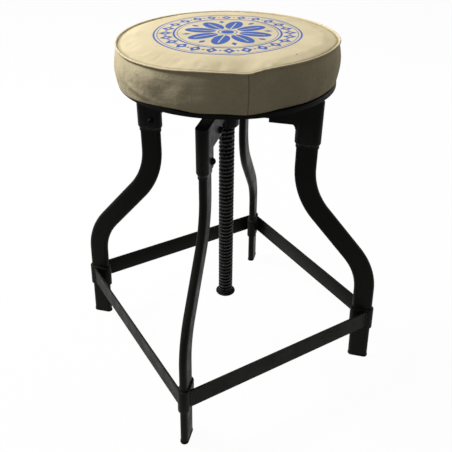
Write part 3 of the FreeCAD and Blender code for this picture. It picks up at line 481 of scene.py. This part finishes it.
def canvas_material():
    """Natural canvas: plain weave, slubs, soft soiling, painted shade above the top seam's ridge and the
    printed top.
    """
    tree = finish_tree("canvas")
    cushion = settings("cushion")
    vector, (x, y, z) = tree.place()
    radius, turn = distance(x, y), tree.turn(x, y)
    side = tree.ramp(radius, *SIDE_RADII)
    top = 1 - side
    across = x * top + turn * BAND_RADIUS * side
    along = y * top + z * side
    pitch = 2 * math.pi / cushion.weave
    wobble = tree.noise(vector, size=0.010, detail=2.0) * 0.9
    warp = (across * pitch + wobble).sine()
    weft = (along * pitch + wobble).sine()
    weave = abs(warp) * 0.5 + abs(weft) * 0.5 + warp * weft * 0.35
    slub = (tree.streaks(across * SLUB_STRETCH, along, SLUB) * 0.5
            + tree.streaks(across, along * SLUB_STRETCH, SLUB) * 0.5)
    cloud = tree.noise(vector, size=0.045, detail=4.0, roughness=0.55)
    soil = tree.noise(vector, size=0.012, detail=5.0, roughness=0.65)
    mottle = tree.noise(vector, size=0.0034, detail=4.0, roughness=0.75)
    fleck = tree.ramp(tree.noise(vector, size=0.0022, detail=1.0), 0.745, 0.775)
    spot = distance(x - SPOT_PLACE[0], y - SPOT_PLACE[1]).inside(SPOT_SIZE, 0.0004) * top
    painted_seam_shade = tree.node("ShaderNodeAttribute", {"attribute_name": "crease"}, output="Fac")
    threads = tree.ramp(weave, 0.15, 0.75)
    joint = abs((turn - cushion.seam_at) * BAND_RADIUS).inside(JOINT_HALF, 0.0004) * side
    patchy = tree.ramp(soil * 0.5 + slub * 0.5, 0.52, 0.70)
    colour = list(settings("surface").canvas)
    base = colour
    for share, tint in (
            (tree.ramp(cloud, 0.35, 0.68), toned(colour, (0.90, 0.895, 0.87))),
            (tree.ramp(soil, 0.56, 0.76) * 0.25, toned(colour, (0.76, 0.75, 0.70))),
            (side * tree.ramp(slub, 0.44, 0.62, 0.0, 0.24), toned(colour, (0.70, 0.70, 0.66))),
            (side * tree.ramp(mottle, 0.50, 0.72, 0.0, 0.34), toned(colour, grey(1.22))),
            (side * tree.ramp(mottle, 0.30, 0.48, 0.30, 0.0), toned(colour, (0.74, 0.73, 0.69))),
            (tree.ramp(slub, 0.55, 0.70) * 0.22, toned(colour, (1.12, 1.13, 1.15))),
            (fleck * 0.45, SEED_FLECK),
            (spot * 0.85, SEED_SPOT),
            # Painted shade in the groove above the seam's ridge, varied by the soiling noise
            (painted_seam_shade * tree.ramp(soil, 0.2, 0.6, 0.55, 0.80), toned(colour, (0.24, 0.22, 0.19))),
            ((1 - threads) * 0.15, toned(colour, (0.50, 0.48, 0.44))),
            (joint * 0.60, toned(colour, (0.36, 0.35, 0.31))),
            (printed(radius, turn) * top * (0.97 - patchy * 0.22), list(settings("surface").ink))):
        base = tree.mix(share, base, tint)
    normal = tree.bump(cloud, distance=0.0015, strength=0.30)
    normal = tree.bump(mottle * side, distance=0.0012, strength=0.60, normal=normal)
    normal = tree.bump(slub, distance=0.0006, strength=0.55, normal=normal)
    normal = tree.bump(weave, distance=0.00012, strength=0.7, normal=normal)
    return tree.finish(Base_Color=base, Roughness=CLOTH_ROUGHNESS, Normal=normal,
                       Specular_IOR_Level=CLOTH_SPECULAR)


def seam_material():
    """The same canvas, rolled over the seam and crossed by stitches."""
    tree = finish_tree("canvas_seam")
    vector, (x, y, _) = tree.place()
    stitch = abs(tree.turn(x, y).waves(STITCH / SEAM_REACH))
    soil = tree.noise(vector, size=0.010, detail=4.0, roughness=0.6)
    colour = list(settings("surface").canvas)
    base = tree.mix(tree.ramp(soil, 0.4, 0.7) * 0.5, toned(colour, grey(1.08)), toned(colour, grey(0.72)))
    base = tree.mix(tree.ramp(stitch, 0.08, 0.30, 0.35, 0.0), base, toned(colour, grey(0.45)))
    return tree.finish(Base_Color=base, Roughness=CLOTH_ROUGHNESS, Specular_IOR_Level=CLOTH_SPECULAR,
                       Normal=tree.bump(stitch, distance=0.0003, strength=0.5))


MATERIALS = {
    "frame_enamel": enamel_material,
    "pan_enamel": lambda: enamel_material("pan_enamel", shade=0.5, rough=0.50),
    "weld_enamel": weld_material,
    "blackened_steel": blackened_material,
    "threaded_steel": lambda: blackened_material("threaded_steel", rubbed_and_highlit=1.0),
    "blackened_fasteners": lambda: blackened_material("blackened_fasteners"),
    "zinc_hardware": zinc_material,
    "foot_plastic": foot_material,
    "plywood": wood_material,
    "canvas": canvas_material,
    "canvas_seam": seam_material,
}
MADE = {}


def material(name):
    """A finish by its name, made when it is first asked for."""
    if name not in MADE:
        MADE[name] = MATERIALS[name]()
    return MADE[name]


# Modelling helpers

def deselect():
    if bpy.context.object and bpy.context.object.mode != "OBJECT":
        bpy.ops.object.mode_set(mode="OBJECT")
    bpy.ops.object.select_all(action="DESELECT")


def activate(item):
    deselect()
    item.select_set(True)
    bpy.context.view_layer.objects.active = item


def open_mesh(item):
    """Enters edit mode with everything selected."""
    activate(item)
    bpy.ops.object.mode_set(mode="EDIT")
    bpy.ops.mesh.select_all(action="SELECT")


def apply_modifier(item, kind, **options):
    activate(item)
    modifier = item.modifiers.new(kind.title(), kind)
    for key, value in options.items():
        setattr(modifier, key, value)
    bpy.ops.object.modifier_apply(modifier=modifier.name)


def added(name, data):
    item = bpy.data.objects.new(name, data)
    bpy.context.collection.objects.link(item)
    return item


def own_copy(source):
    """A copy of an object with a mesh of its own."""
    item = source.copy()
    item.data = source.data.copy()
    bpy.context.collection.objects.link(item)
    return item


def joined(item):
    """Merges points that lie on each other and turns the faces outwards."""
    open_mesh(item)
    bpy.ops.mesh.remove_doubles(threshold=0.00002)
    bpy.ops.mesh.normals_make_consistent(inside=False)
    bpy.ops.object.mode_set(mode="OBJECT")


def spun(name, points, columns, closed=False):
    """A surface of revolution about Z from points (radius, level).

    Code lays the points, because Blender's spin orders them anew in each run and the cloth's folds depend
    on their order.
    """
    rows = len(points)
    places, faces = [], []
    for column in range(columns):
        turn = 2 * math.pi * column / columns
        places += [(radius * math.cos(turn), radius * math.sin(turn), level) for radius, level in points]
        here, there = column * rows, (column + 1) % columns * rows
        for row in range(rows if closed else rows - 1):
            after = (row + 1) % rows
            faces.append((here + row, there + row, there + after, here + after))
    mesh = bpy.data.meshes.new(name)
    mesh.from_pydata(places, [], faces)
    item = added(name, mesh)
    joined(item)
    return item


def smooth(item, degrees):
    activate(item)
    bpy.ops.object.shade_smooth_by_angle(angle=math.radians(degrees))


def dress(item, slot_name, material_name=None):
    item.data.materials.clear()
    item.data.materials.append(material(material_name or slot_name))


EDGE_ANGLE = 32.0  # degrees between faces at which a CAD edge counts as sharp
FLAT_ANGLE = 0.5  # degrees under which a CAD node's triangles are merged into one face


def refined(node, bevel=0.0, simplify=True):
    """A smooth-shaded copy of a CAD node, with its sharp edges softened, that stands in its place."""
    item = own_copy(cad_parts[node])
    item.name = item.data.name = node + "_finished"
    open_mesh(item)
    bpy.ops.mesh.remove_doubles(threshold=0.00001)
    if simplify:
        bpy.ops.mesh.dissolve_limited(angle_limit=math.radians(FLAT_ANGLE))
    bpy.ops.object.mode_set(mode="OBJECT")
    if bevel:
        apply_modifier(item, "BEVEL", width=bevel, segments=2, limit_method="ANGLE",
                       angle_limit=math.radians(EDGE_ANGLE), harden_normals=False)
    smooth(item, EDGE_ANGLE)
    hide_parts(node)
    return item


# Round lamps: name, place, size across and watts
LAMPS = (("key", (-1.14, 1.40, 2.28), 1.25, 73.0), ("rim", (1.60, 0.30, 1.00), 1.2, 5.5))
LAMP_AIM = Vector((0, 0, 0.3))
FLOOR_LIT, FLOOR_SEEN = grey(0.15), grey(0.95)  # the floor's colour for light on its way and as it is seen
FLOOR_GLOW = 0.972  # share of plain white in the floor as it is seen, which leaves the shadow faint
ROOM_LIGHT = 0.12  # strength of the even light from all round


class STOOL_OT_stage(Operator):
    """Set the pale floor, the soft lights and the camera."""

    bl_idname = "stool.stage"
    bl_label = "Stage"

    def execute(self, context):
        scene = context.scene
        scene.view_settings.view_transform = "Standard"
        deselect()
        bpy.ops.mesh.primitive_plane_add(size=12.0, location=(0, 0, 0))
        floor = context.object
        floor.name = "floor"
        floor.data.materials.append(floor_material())
        set_world(scene)
        for name, place, size, power in LAMPS:
            add_lamp(name, Vector(place), size, power)
        add_camera(scene)
        return {"FINISHED"}


def floor_material():
    """A white floor that still takes the stool's shadow, and sends little light up under it."""
    tree = finish_tree("pale_floor")
    seen = tree.seen()
    tree.finish(Base_Color=tree.mix(seen, FLOOR_LIT, FLOOR_SEEN), Roughness=0.9, Specular_IOR_Level=0.0)
    shader = Wire(tree, tree.nodes["Principled BSDF"].outputs[0])
    glow = tree.node("ShaderNodeEmission", {}, {"Color": WHITE, "Strength": 1.0})
    mixed = tree.node("ShaderNodeMixShader", {}, [seen * FLOOR_GLOW, shader, glow])
    tree.connect(tree.nodes["Material Output"].inputs["Surface"], mixed)
    return tree.owner


def set_world(scene):
    """White where it is seen, and a dim, even light on the stool."""
    scene.world = bpy.data.worlds.new("studio")
    tree = Tree(scene.world)
    tree.nodes.clear()
    output = tree.nodes.new("ShaderNodeOutputWorld")
    shades = [tree.node("ShaderNodeBackground", {}, {"Color": WHITE, "Strength": strength})
              for strength in (ROOM_LIGHT, 1.0)]
    mixed = tree.node("ShaderNodeMixShader", {}, [tree.seen(), *shades])
    tree.connect(output.inputs["Surface"], mixed)


def add_lamp(name, place, size, power):
    data = bpy.data.lights.new(name, "AREA")
    data.shape = "DISK"
    data.size = size
    data.energy = power
    lamp = added(name, data)
    lamp.location = place
    lamp.rotation_euler = (LAMP_AIM - place).to_track_quat("-Z", "Y").to_euler()


def add_camera(scene):
    view = settings("viewpoint")
    data = bpy.data.cameras.new("camera")
    data.sensor_width = 36.0
    data.lens = view.lens
    camera = added("camera", data)
    turn = Matrix.Rotation(view.heading, 4, "Z")
    tilt = Matrix.Rotation(math.pi / 2 - view.pitch, 4, "X")
    roll = Matrix.Rotation(view.roll, 4, "Z")
    camera.location = turn @ Vector((0, -view.distance, view.height))
    camera.rotation_euler = (turn @ tilt @ roll).to_euler()
    scene.camera = camera


class STOOL_OT_frame(Operator):
    """Finish the legs, brackets, arms, collars, bars, hub and feet."""

    bl_idname = "stool.frame"
    bl_label = "Frame"

    # Kind of node, its softened edge and its slot
    corner_parts = (("leg", 0.0, "frame_enamel"), ("arm", 0.0, "frame_enamel"),
                    ("collar", 0.0, "frame_enamel"), ("bracket", 0.0006, "frame_enamel"),
                    ("foot_plug", 0.0004, "foot_plastic"))
    bar_edge = 0.0005

    def execute(self, context):
        parts = [(f"{kind}_{corner}", bevel, slot_name)
                 for corner in CORNERS for kind, bevel, slot_name in self.corner_parts]
        parts += [("foot_bar_" + side, self.bar_edge, "frame_enamel") for side in SIDES]
        parts += [("hub", 0.0, "frame_enamel"), ("bracket_screws", 0.0, "blackened_fasteners")]
        for node, bevel, slot_name in parts:
            item = refined(node, bevel)
            dress(item, slot_name)
            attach(item, "root")
        return {"FINISHED"}


class STOOL_OT_welds(Operator):
    """Lay a rippled weld bead down each side of the foot bars' ends."""

    bl_idname = "stool.welds"
    bl_label = "Welds"

    # How far a bead's middle stands from the bar's corner, along X and Y, outside and inside the bar
    outer_shift, inner_shift = (0.0002, 0.0006), (0.0008, 0.0020)
    end_gap = 0.0010

    def execute(self, context):
        (face_out, end, low), (face_in, _, high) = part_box("foot_bar_left")
        skew = abs(face_out) - abs(face_in)
        spots = ((face_out + self.outer_shift[0], end + self.outer_shift[1]),
                 (face_in + self.inner_shift[0], end + skew + self.inner_shift[1]))
        bead = spun("weld_bead", bead_outline(low + self.end_gap, high - self.end_gap), 12)
        smooth(bead, 60.0)
        for corner in CORNERS:
            along = 1 if "left" in corner else -1
            deep = 1 if "front" in corner else -1
            beads = []
            for x, y in (*spots, *((y, x) for x, y in spots)):
                item = own_copy(bead)
                item.data.transform(Matrix.Translation((x * along, y * deep, 0)))
                beads.append(item)
            activate(beads[0])
            for item in beads:
                item.select_set(True)
            bpy.ops.object.join()
            welds = context.object
            welds.name = "collar_welds_" + corner
            dress(welds, "frame_enamel", "weld_enamel")
            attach(welds, "root")
        bpy.data.objects.remove(bead)
        return {"FINISHED"}


BEAD_ROWS, BEAD_THICK = 30, 0.0020


def bead_outline(low, high):
    """A weld bead's outline, as radius and level, thicker and thinner where the metal was laid."""
    points = []
    for n in range(BEAD_ROWS + 1):
        share = n / BEAD_ROWS
        thick = BEAD_THICK * math.sin(math.pi * min(0.999, max(0.001, share))) ** 0.3
        ripple = 1 + 0.10 * math.sin(share * 2 * math.pi * 9) + 0.06 * math.sin(share * 31)
        points.append((0.0 if n in (0, BEAD_ROWS) else thick * ripple, low + (high - low) * share))
    return points


class STOOL_OT_post(Operator):
    """Finish the threaded post, its stop and the seat's metalwork."""

    bl_idname = "stool.post"
    bl_label = "Post"

    # Node, slot and body
    parts = (("screw", "blackened_steel", "seat"), ("stop_washer", "blackened_steel", "lift"),
             ("stop_bolt", "blackened_fasteners", "seat"), ("seat_flange", "frame_enamel", "seat"),
             ("cross_pin", "blackened_fasteners", "seat"), ("seat_bolts", "blackened_fasteners", "seat"),
             ("tee_nuts", "zinc_hardware", "seat"), ("seat_pan", "pan_enamel", "seat"),
             ("seat_board", "plywood", "seat"))

    def execute(self, context):
        for node, slot_name, body in self.parts:
            item = refined(node, simplify=node != "screw")
            dress(item, slot_name, "threaded_steel" if node == "screw" else None)
            if node == "seat_board":
                trim_board(item)
            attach(item, body)
        return {"FINISHED"}


BOARD_INNER, BOARD_TRIM = 0.15, 0.972  # radius past which the board is drawn in, and the share it keeps


def trim_board(board):
    """Draws the board's rim in a little, so that the canvas can pass round it."""
    for vertex in board.data.vertices:
        if math.hypot(vertex.co.x, vertex.co.y) > BOARD_INNER:
            vertex.co.x *= BOARD_TRIM
            vertex.co.y *= BOARD_TRIM


# The cushion

def waved(table, turn):
    """A value in metres from a table of (degrees, millimetres), joined smoothly all the way round."""
    degrees = math.degrees(turn)
    count = len(table)
    for n in range(count):
        start, end = table[n], table[(n + 1) % count]
        span = (end[0] - start[0]) % 360
        share = ((degrees - start[0]) % 360) / span
        if share <= 1:
            break
    before, after = table[n - 1], table[(n + 2) % count]
    slope_in = (end[1] - before[1]) / ((end[0] - before[0]) % 360) * span
    slope_out = (after[1] - start[1]) / ((after[0] - start[0]) % 360) * span
    cube, square = share ** 3, share ** 2
    value = ((2 * cube - 3 * square + 1) * start[1] + (cube - 2 * square + share) * slope_in
             + (3 * square - 2 * cube) * end[1] + (cube - square) * slope_out)
    return value / 1000


def turn_past(turn, start):
    """The turn past a direction, from half a turn back to half a turn on."""
    return (turn - start + math.pi) % (2 * math.pi) - math.pi


def hill(value, spread):
    """1 at zero, falling off on both sides as a bell."""
    return math.exp(-(value / spread) ** 2)


CORNER_OUT, CORNER_REACH = 0.0016, 0.16  # the corner at the side seam: how far out, and its width as a turn
BESIDE_IN, BESIDE_AT, BESIDE_SPREAD = 0.0007, 0.40, 0.22  # the flatter places on both sides of it
FACETS = 0.0006  # depth of the facets in the lower edge


def corner_pull(turn):
    """How far the side seam pulls the cover into a slight corner, by the turn from +X."""
    away = abs(turn_past(turn, settings("cushion").seam_at))
    return CORNER_OUT * math.exp(-away / CORNER_REACH) - BESIDE_IN * hill(away - BESIDE_AT, BESIDE_SPREAD)


def seam_place(turn):
    """Where the top seam runs, as radius and level."""
    return SEAM_REACH + corner_pull(turn), SEAM_LEVEL + waved(SEAM_LIFT, turn)


def foot_place(turn):
    """Where the cover's lower edge runs, as radius and level."""
    facets = FACETS * math.sin(turn * 17 + 2.2 * math.sin(turn * 5)) * math.cos(turn * 3 + 1)
    return (FOOT_REACH + waved(FOOT_OUT, turn) + 0.5 * corner_pull(turn) + facets,
            BAND_LOW + waved(FOOT_LIFT, turn) + 0.6 * facets)


SIDE_ROWS, TOP_ROWS = 26, 44
HEM = (0.150, 0.154, 0.157)  # radii of the hem's rows on the pan
CLOTH_GAP = 0.0004  # from the pan to the cloth
TURN_IN = 0.0024  # width of the turn from the hem to the side
SEAM_HALF = 0.0012  # from the ridge's middle to where the side ends under it
SEAM_TUCK = 0.0010  # how far under the ridge's middle the side ends
GROOVE = ((0.0018, 0.0005), (0.0027, 0.0009))  # the groove behind the ridge: inwards and down
GROOVE_END = 0.0031
SHOULDER, SHOULDER_WIDTH, SHOULDER_DROP = 0.0038, 0.0105, 0.0008  # the top's round edge
PAINTED_SEAM_SHADE = (0.15, 0.45, 0.60, 0.85, 0.42, 0.05)  # painted shade in the groove above the ridge, row by row from the seam inwards
DISC_INNER, DISC_STEP = 0.150, 0.001  # the flat disc that the rows are laid from


def cover_rows(turn):
    """The cover's section at a turn, from the hem's inner edge over the side to the middle of the top."""
    (seam, head), (foot, low) = seam_place(turn), foot_place(turn)
    quarter = TURN_IN / 4
    rows = [(radius, PAN_TOP + CLOTH_GAP) for radius in HEM]
    rows += [(foot - TURN_IN, max(low + 2 * CLOTH_GAP, PAN_TOP + CLOTH_GAP)),
             (foot - 2 * quarter, low + quarter), (foot - quarter, low)]
    belly = settings("cushion").belly
    for n in range(SIDE_ROWS + 1):
        share = n / SIDE_ROWS
        swell = belly * (math.sin(math.pi * share ** 1.12) ** 0.9 if share < 1 else 0.0)
        rows.append((foot + (seam - SEAM_HALF - foot) * share + swell,
                     low + quarter + (head - SEAM_TUCK - low) * share))
    rows += [(seam - inwards, head - down) for inwards, down in GROOVE]
    reach = seam - GROOVE_END
    for n in range(TOP_ROWS):
        share = 1 - (n / TOP_ROWS) ** 1.25
        inset = reach * (1 - share)
        rounded = math.sqrt(1 - (1 - min(1.0, inset / SHOULDER_WIDTH)) ** 2)
        shoulder = SHOULDER * rounded - SHOULDER_DROP
        dome = (CROWN_TOP - SEAM_LEVEL - (SHOULDER - SHOULDER_DROP)) * (1 - share ** 2)
        rows.append((reach * share, head + (SEAM_LEVEL - head) * (1 - share ** 3) + shoulder + dome))
    rows.append((0.0, CROWN_TOP))
    return rows


class STOOL_OT_cushion(Operator):
    """Model the padded canvas seat with its seams."""

    bl_idname = "stool.cushion"
    bl_label = "Cushion"

    def execute(self, context):
        count = len(cover_rows(0.0)) - 1
        flat = [(DISC_INNER + DISC_STEP * n, 0.0) for n in range(count)] + [(0.0, 0.0)]
        cover = spun("seat_cushion", flat, settings("cushion").columns)
        lay_rows(cover, count)
        stuff(cover)
        dent(cover)
        apply_modifier(cover, "SUBSURF", levels=1, render_levels=1)
        smooth(cover, 70.0)
        dress(cover, "canvas")
        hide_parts("cover_top", "cover_band", "foam_pad")
        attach(cover, "seat")
        ridge = seam_ring()
        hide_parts("welt")
        dress(ridge, "canvas", "canvas_seam")
        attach(ridge, "seat")
        return {"FINISHED"}


def lay_rows(cover, middle_row):
    """Moves each vertex of the flat disc to its place on the cover's section, groups the sewn rows and
    stores the painted shade of the rows behind the seam.
    """
    first_side = len(HEM) + 3
    seam_row = first_side + SIDE_ROWS
    sewn = cover.vertex_groups.new(name="sewn")
    sections, shades = {}, []
    for vertex in cover.data.vertices:
        radius = math.hypot(vertex.co.x, vertex.co.y)
        row = middle_row if radius < 0.1 else round((radius - DISC_INNER) / DISC_STEP)
        turn = math.atan2(vertex.co.y, vertex.co.x)
        column = round(turn, 4)
        if column not in sections:
            sections[column] = cover_rows(turn)
        reach, level = sections[column][row]
        vertex.co = (reach * math.cos(turn), reach * math.sin(turn), level)
        past_seam = row - seam_row
        shades.append(PAINTED_SEAM_SHADE[past_seam] if 0 <= past_seam < len(PAINTED_SEAM_SHADE) else 0.0)
        if row <= first_side or -1 <= past_seam <= len(GROOVE) + 1:
            sewn.add([vertex.index], 1.0, "REPLACE")
    # Written after the loop, because a new group entry moves the mesh's data
    cover.data.attributes.new("crease", "FLOAT", "POINT").data.foreach_set("value", shades)
    joined(cover)


STUFFING_FRAMES = 20


def stuff(cover):
    """Lets pressure fill the sewn cloth, then holds each point near where it started."""
    cushion = settings("cushion")
    scene = bpy.context.scene
    start = [vertex.co.copy() for vertex in cover.data.vertices]
    activate(cover)
    cloth = cover.modifiers.new("Stuffing", "CLOTH")
    cloth.settings.quality = 6
    cloth.settings.mass = 0.3
    cloth.settings.tension_stiffness = cloth.settings.compression_stiffness = 25.0
    cloth.settings.shear_stiffness = 10.0
    cloth.settings.bending_stiffness = 0.8
    cloth.settings.use_pressure = True
    cloth.settings.uniform_pressure_force = cushion.pressure
    cloth.settings.vertex_group_mass = "sewn"
    cloth.settings.effector_weights.gravity = 0.0
    cloth.collision_settings.use_collision = False
    cloth.point_cache.frame_start, cloth.point_cache.frame_end = 1, STUFFING_FRAMES
    for step in range(1, STUFFING_FRAMES + 1):
        scene.frame_set(step)
    bpy.ops.object.modifier_apply(modifier=cloth.name)
    scene.frame_set(1)
    for vertex, place in zip(cover.data.vertices, start):
        move = vertex.co - place
        if move.length > cushion.give:
            vertex.co = place + move * (cushion.give / move.length)


MIDDLE_STILL = 0.03  # radius of the middle of the top, which keeps its shape
SIDE_FROM, TOP_TO = 0.1575, 0.158  # radii from which the side moves and up to which the top does
FINE_DENTS = 0.00045
CALM = 0.40  # share of the crumpling past the side seam, where the cloth lies smoother
FOLD_RIDGE, FOLD_HOLLOW = 0.0011, 0.0010
SIDE_PUCKER, TOP_PUCKER, TOP_DENTS = 0.00016, 0.00022, 0.0008
JOINT_SWELL, JOINT_CUT, JOINT_WIDTH, JOINT_WAVE = 0.0007, 0.0012, 0.0011, 0.00025


def dent(cover):
    """Soft dents, the fold at the left and the puckers beside the seams."""
    for vertex in cover.data.vertices:
        place = vertex.co.copy()
        radius = math.hypot(place.x, place.y)
        if radius < MIDDLE_STILL:
            continue
        turn = math.atan2(place.y, place.x)
        (_, head), (_, low) = seam_place(turn), foot_place(turn)
        if radius > SIDE_FROM and place.z < head - SEAM_HALF:
            outward = Vector((place.x / radius, place.y / radius, 0))
            vertex.co = place + outward * side_move(turn, place.z, low, head)
        elif radius < TOP_TO:
            vertex.co.z += top_move(turn, place, radius)


def side_move(turn, level, low, head):
    """How far a point of the side moves outwards."""
    cushion = settings("cushion")
    height = min(1.0, max(0.0, (level - low) / (head - low)))
    away = turn_past(turn, cushion.seam_at)
    fade = math.sin(math.pi * height) ** 0.6
    soft = (noise.noise(Vector((turn * 4.3, height * 1.7, 4.0)))
            + 0.7 * noise.noise(Vector((turn * 9.5, height * 3.1, 9.0))))
    fine = noise.noise(Vector((turn * 24.0, height * 8.0, 2.0)))
    move = (cushion.dents * soft + FINE_DENTS * fine) * (1.0 if away < 0 else CALM) * fade
    for middle, spread, centre, reach, depth in BULGES:
        off = turn_past(turn, math.radians(middle)) / math.radians(spread)
        move += depth / 1000 * math.exp(-off ** 2 - ((height - centre) / reach) ** 2)
    # The fold at the left: a ridge that falls as it runs forward, with a hollow under it
    line = height - (0.30 - 0.62 * (turn_past(turn, math.radians(-170.0)) / math.radians(40.0)))
    reach = hill(turn_past(turn, math.radians(-166.0)), math.radians(15.0))
    move += FOLD_RIDGE * reach * hill(line, 0.085) * fade
    move -= FOLD_HOLLOW * reach * hill(line + 0.17, 0.10) * fade
    # Puckers under the ridge, then the joined edges of the band
    pucker = math.exp(-(head - level) / 0.010) * math.sin(turn * 118 + 3 * math.sin(turn * 7))
    beside = math.exp(-abs(away) / 0.035)
    move += SIDE_PUCKER * pucker
    move += beside * (JOINT_SWELL - JOINT_CUT * hill(away * BAND_RADIUS, JOINT_WIDTH))
    return move + JOINT_WAVE * beside * math.sin(level * 520)


def top_move(turn, place, radius):
    """How far a point of the top moves up."""
    near = max(0.0, 1 - (TOP_TO - radius) / 0.020)
    pucker = math.sin(turn * 97 + 2 * math.sin(turn * 6)) * near ** 2
    soft = noise.noise(Vector((place.x * 16, place.y * 16, 2.0)))
    return TOP_PUCKER * pucker + TOP_DENTS * soft * min(1.0, radius / 0.10)


RIDGE_THICK, RIDGE_SIDES = 0.00145, 10
RIDGE_OUT, RIDGE_WAVE = 0.0002, 0.00015  # how far the ridge stands out from the seam, and its waver


def seam_ring():
    """The ridge of turned-in canvas along the top seam."""
    angles = [2 * math.pi * n / RIDGE_SIDES for n in range(RIDGE_SIDES)]
    points = [(DISC_INNER + RIDGE_OUT + RIDGE_THICK * math.cos(angle), RIDGE_THICK * math.sin(angle))
              for angle in angles]
    ring = spun("seat_seam", points, settings("cushion").columns, closed=True)
    for vertex in ring.data.vertices:
        turn = math.atan2(vertex.co.y, vertex.co.x)
        reach, level = seam_place(turn)
        radius = math.hypot(vertex.co.x, vertex.co.y) - DISC_INNER + reach + RIDGE_WAVE * math.sin(turn * 97)
        vertex.co = (radius * math.cos(turn), radius * math.sin(turn), vertex.co.z + level)
    smooth(ring, 80.0)
    return ring


class STOOL_PT_panel(Panel):
    bl_idname = "STOOL_PT_panel"
    bl_label = "Workshop Stool"
    bl_space_type = "VIEW_3D"
    bl_region_type = "UI"
    bl_category = "Stool"

    def draw(self, context):
        for operator in OPERATORS:
            self.layout.operator(operator.bl_idname)


GROUPS = {"surface": Surface, "cushion": Cushion, "print": Print, "viewpoint": Viewpoint}
OPERATORS = (STOOL_OT_stage, STOOL_OT_frame, STOOL_OT_welds, STOOL_OT_post, STOOL_OT_cushion)


def register():
    for name, group in GROUPS.items():
        bpy.utils.register_class(group)
        setattr(bpy.types.Scene, "stool_" + name, PointerProperty(type=group))
    for item in (*OPERATORS, STOOL_PT_panel):
        bpy.utils.register_class(item)


def unregister():
    for item in (*OPERATORS, STOOL_PT_panel):
        bpy.utils.unregister_class(item)
    for name, group in GROUPS.items():
        delattr(bpy.types.Scene, "stool_" + name)
        bpy.utils.unregister_class(group)


def main():
    register()
    bpy.ops.stool.stage()
    bpy.ops.stool.frame()
    bpy.ops.stool.welds()
    bpy.ops.stool.post()
    bpy.ops.stool.cushion()


if __name__ == "__main__":
    main()
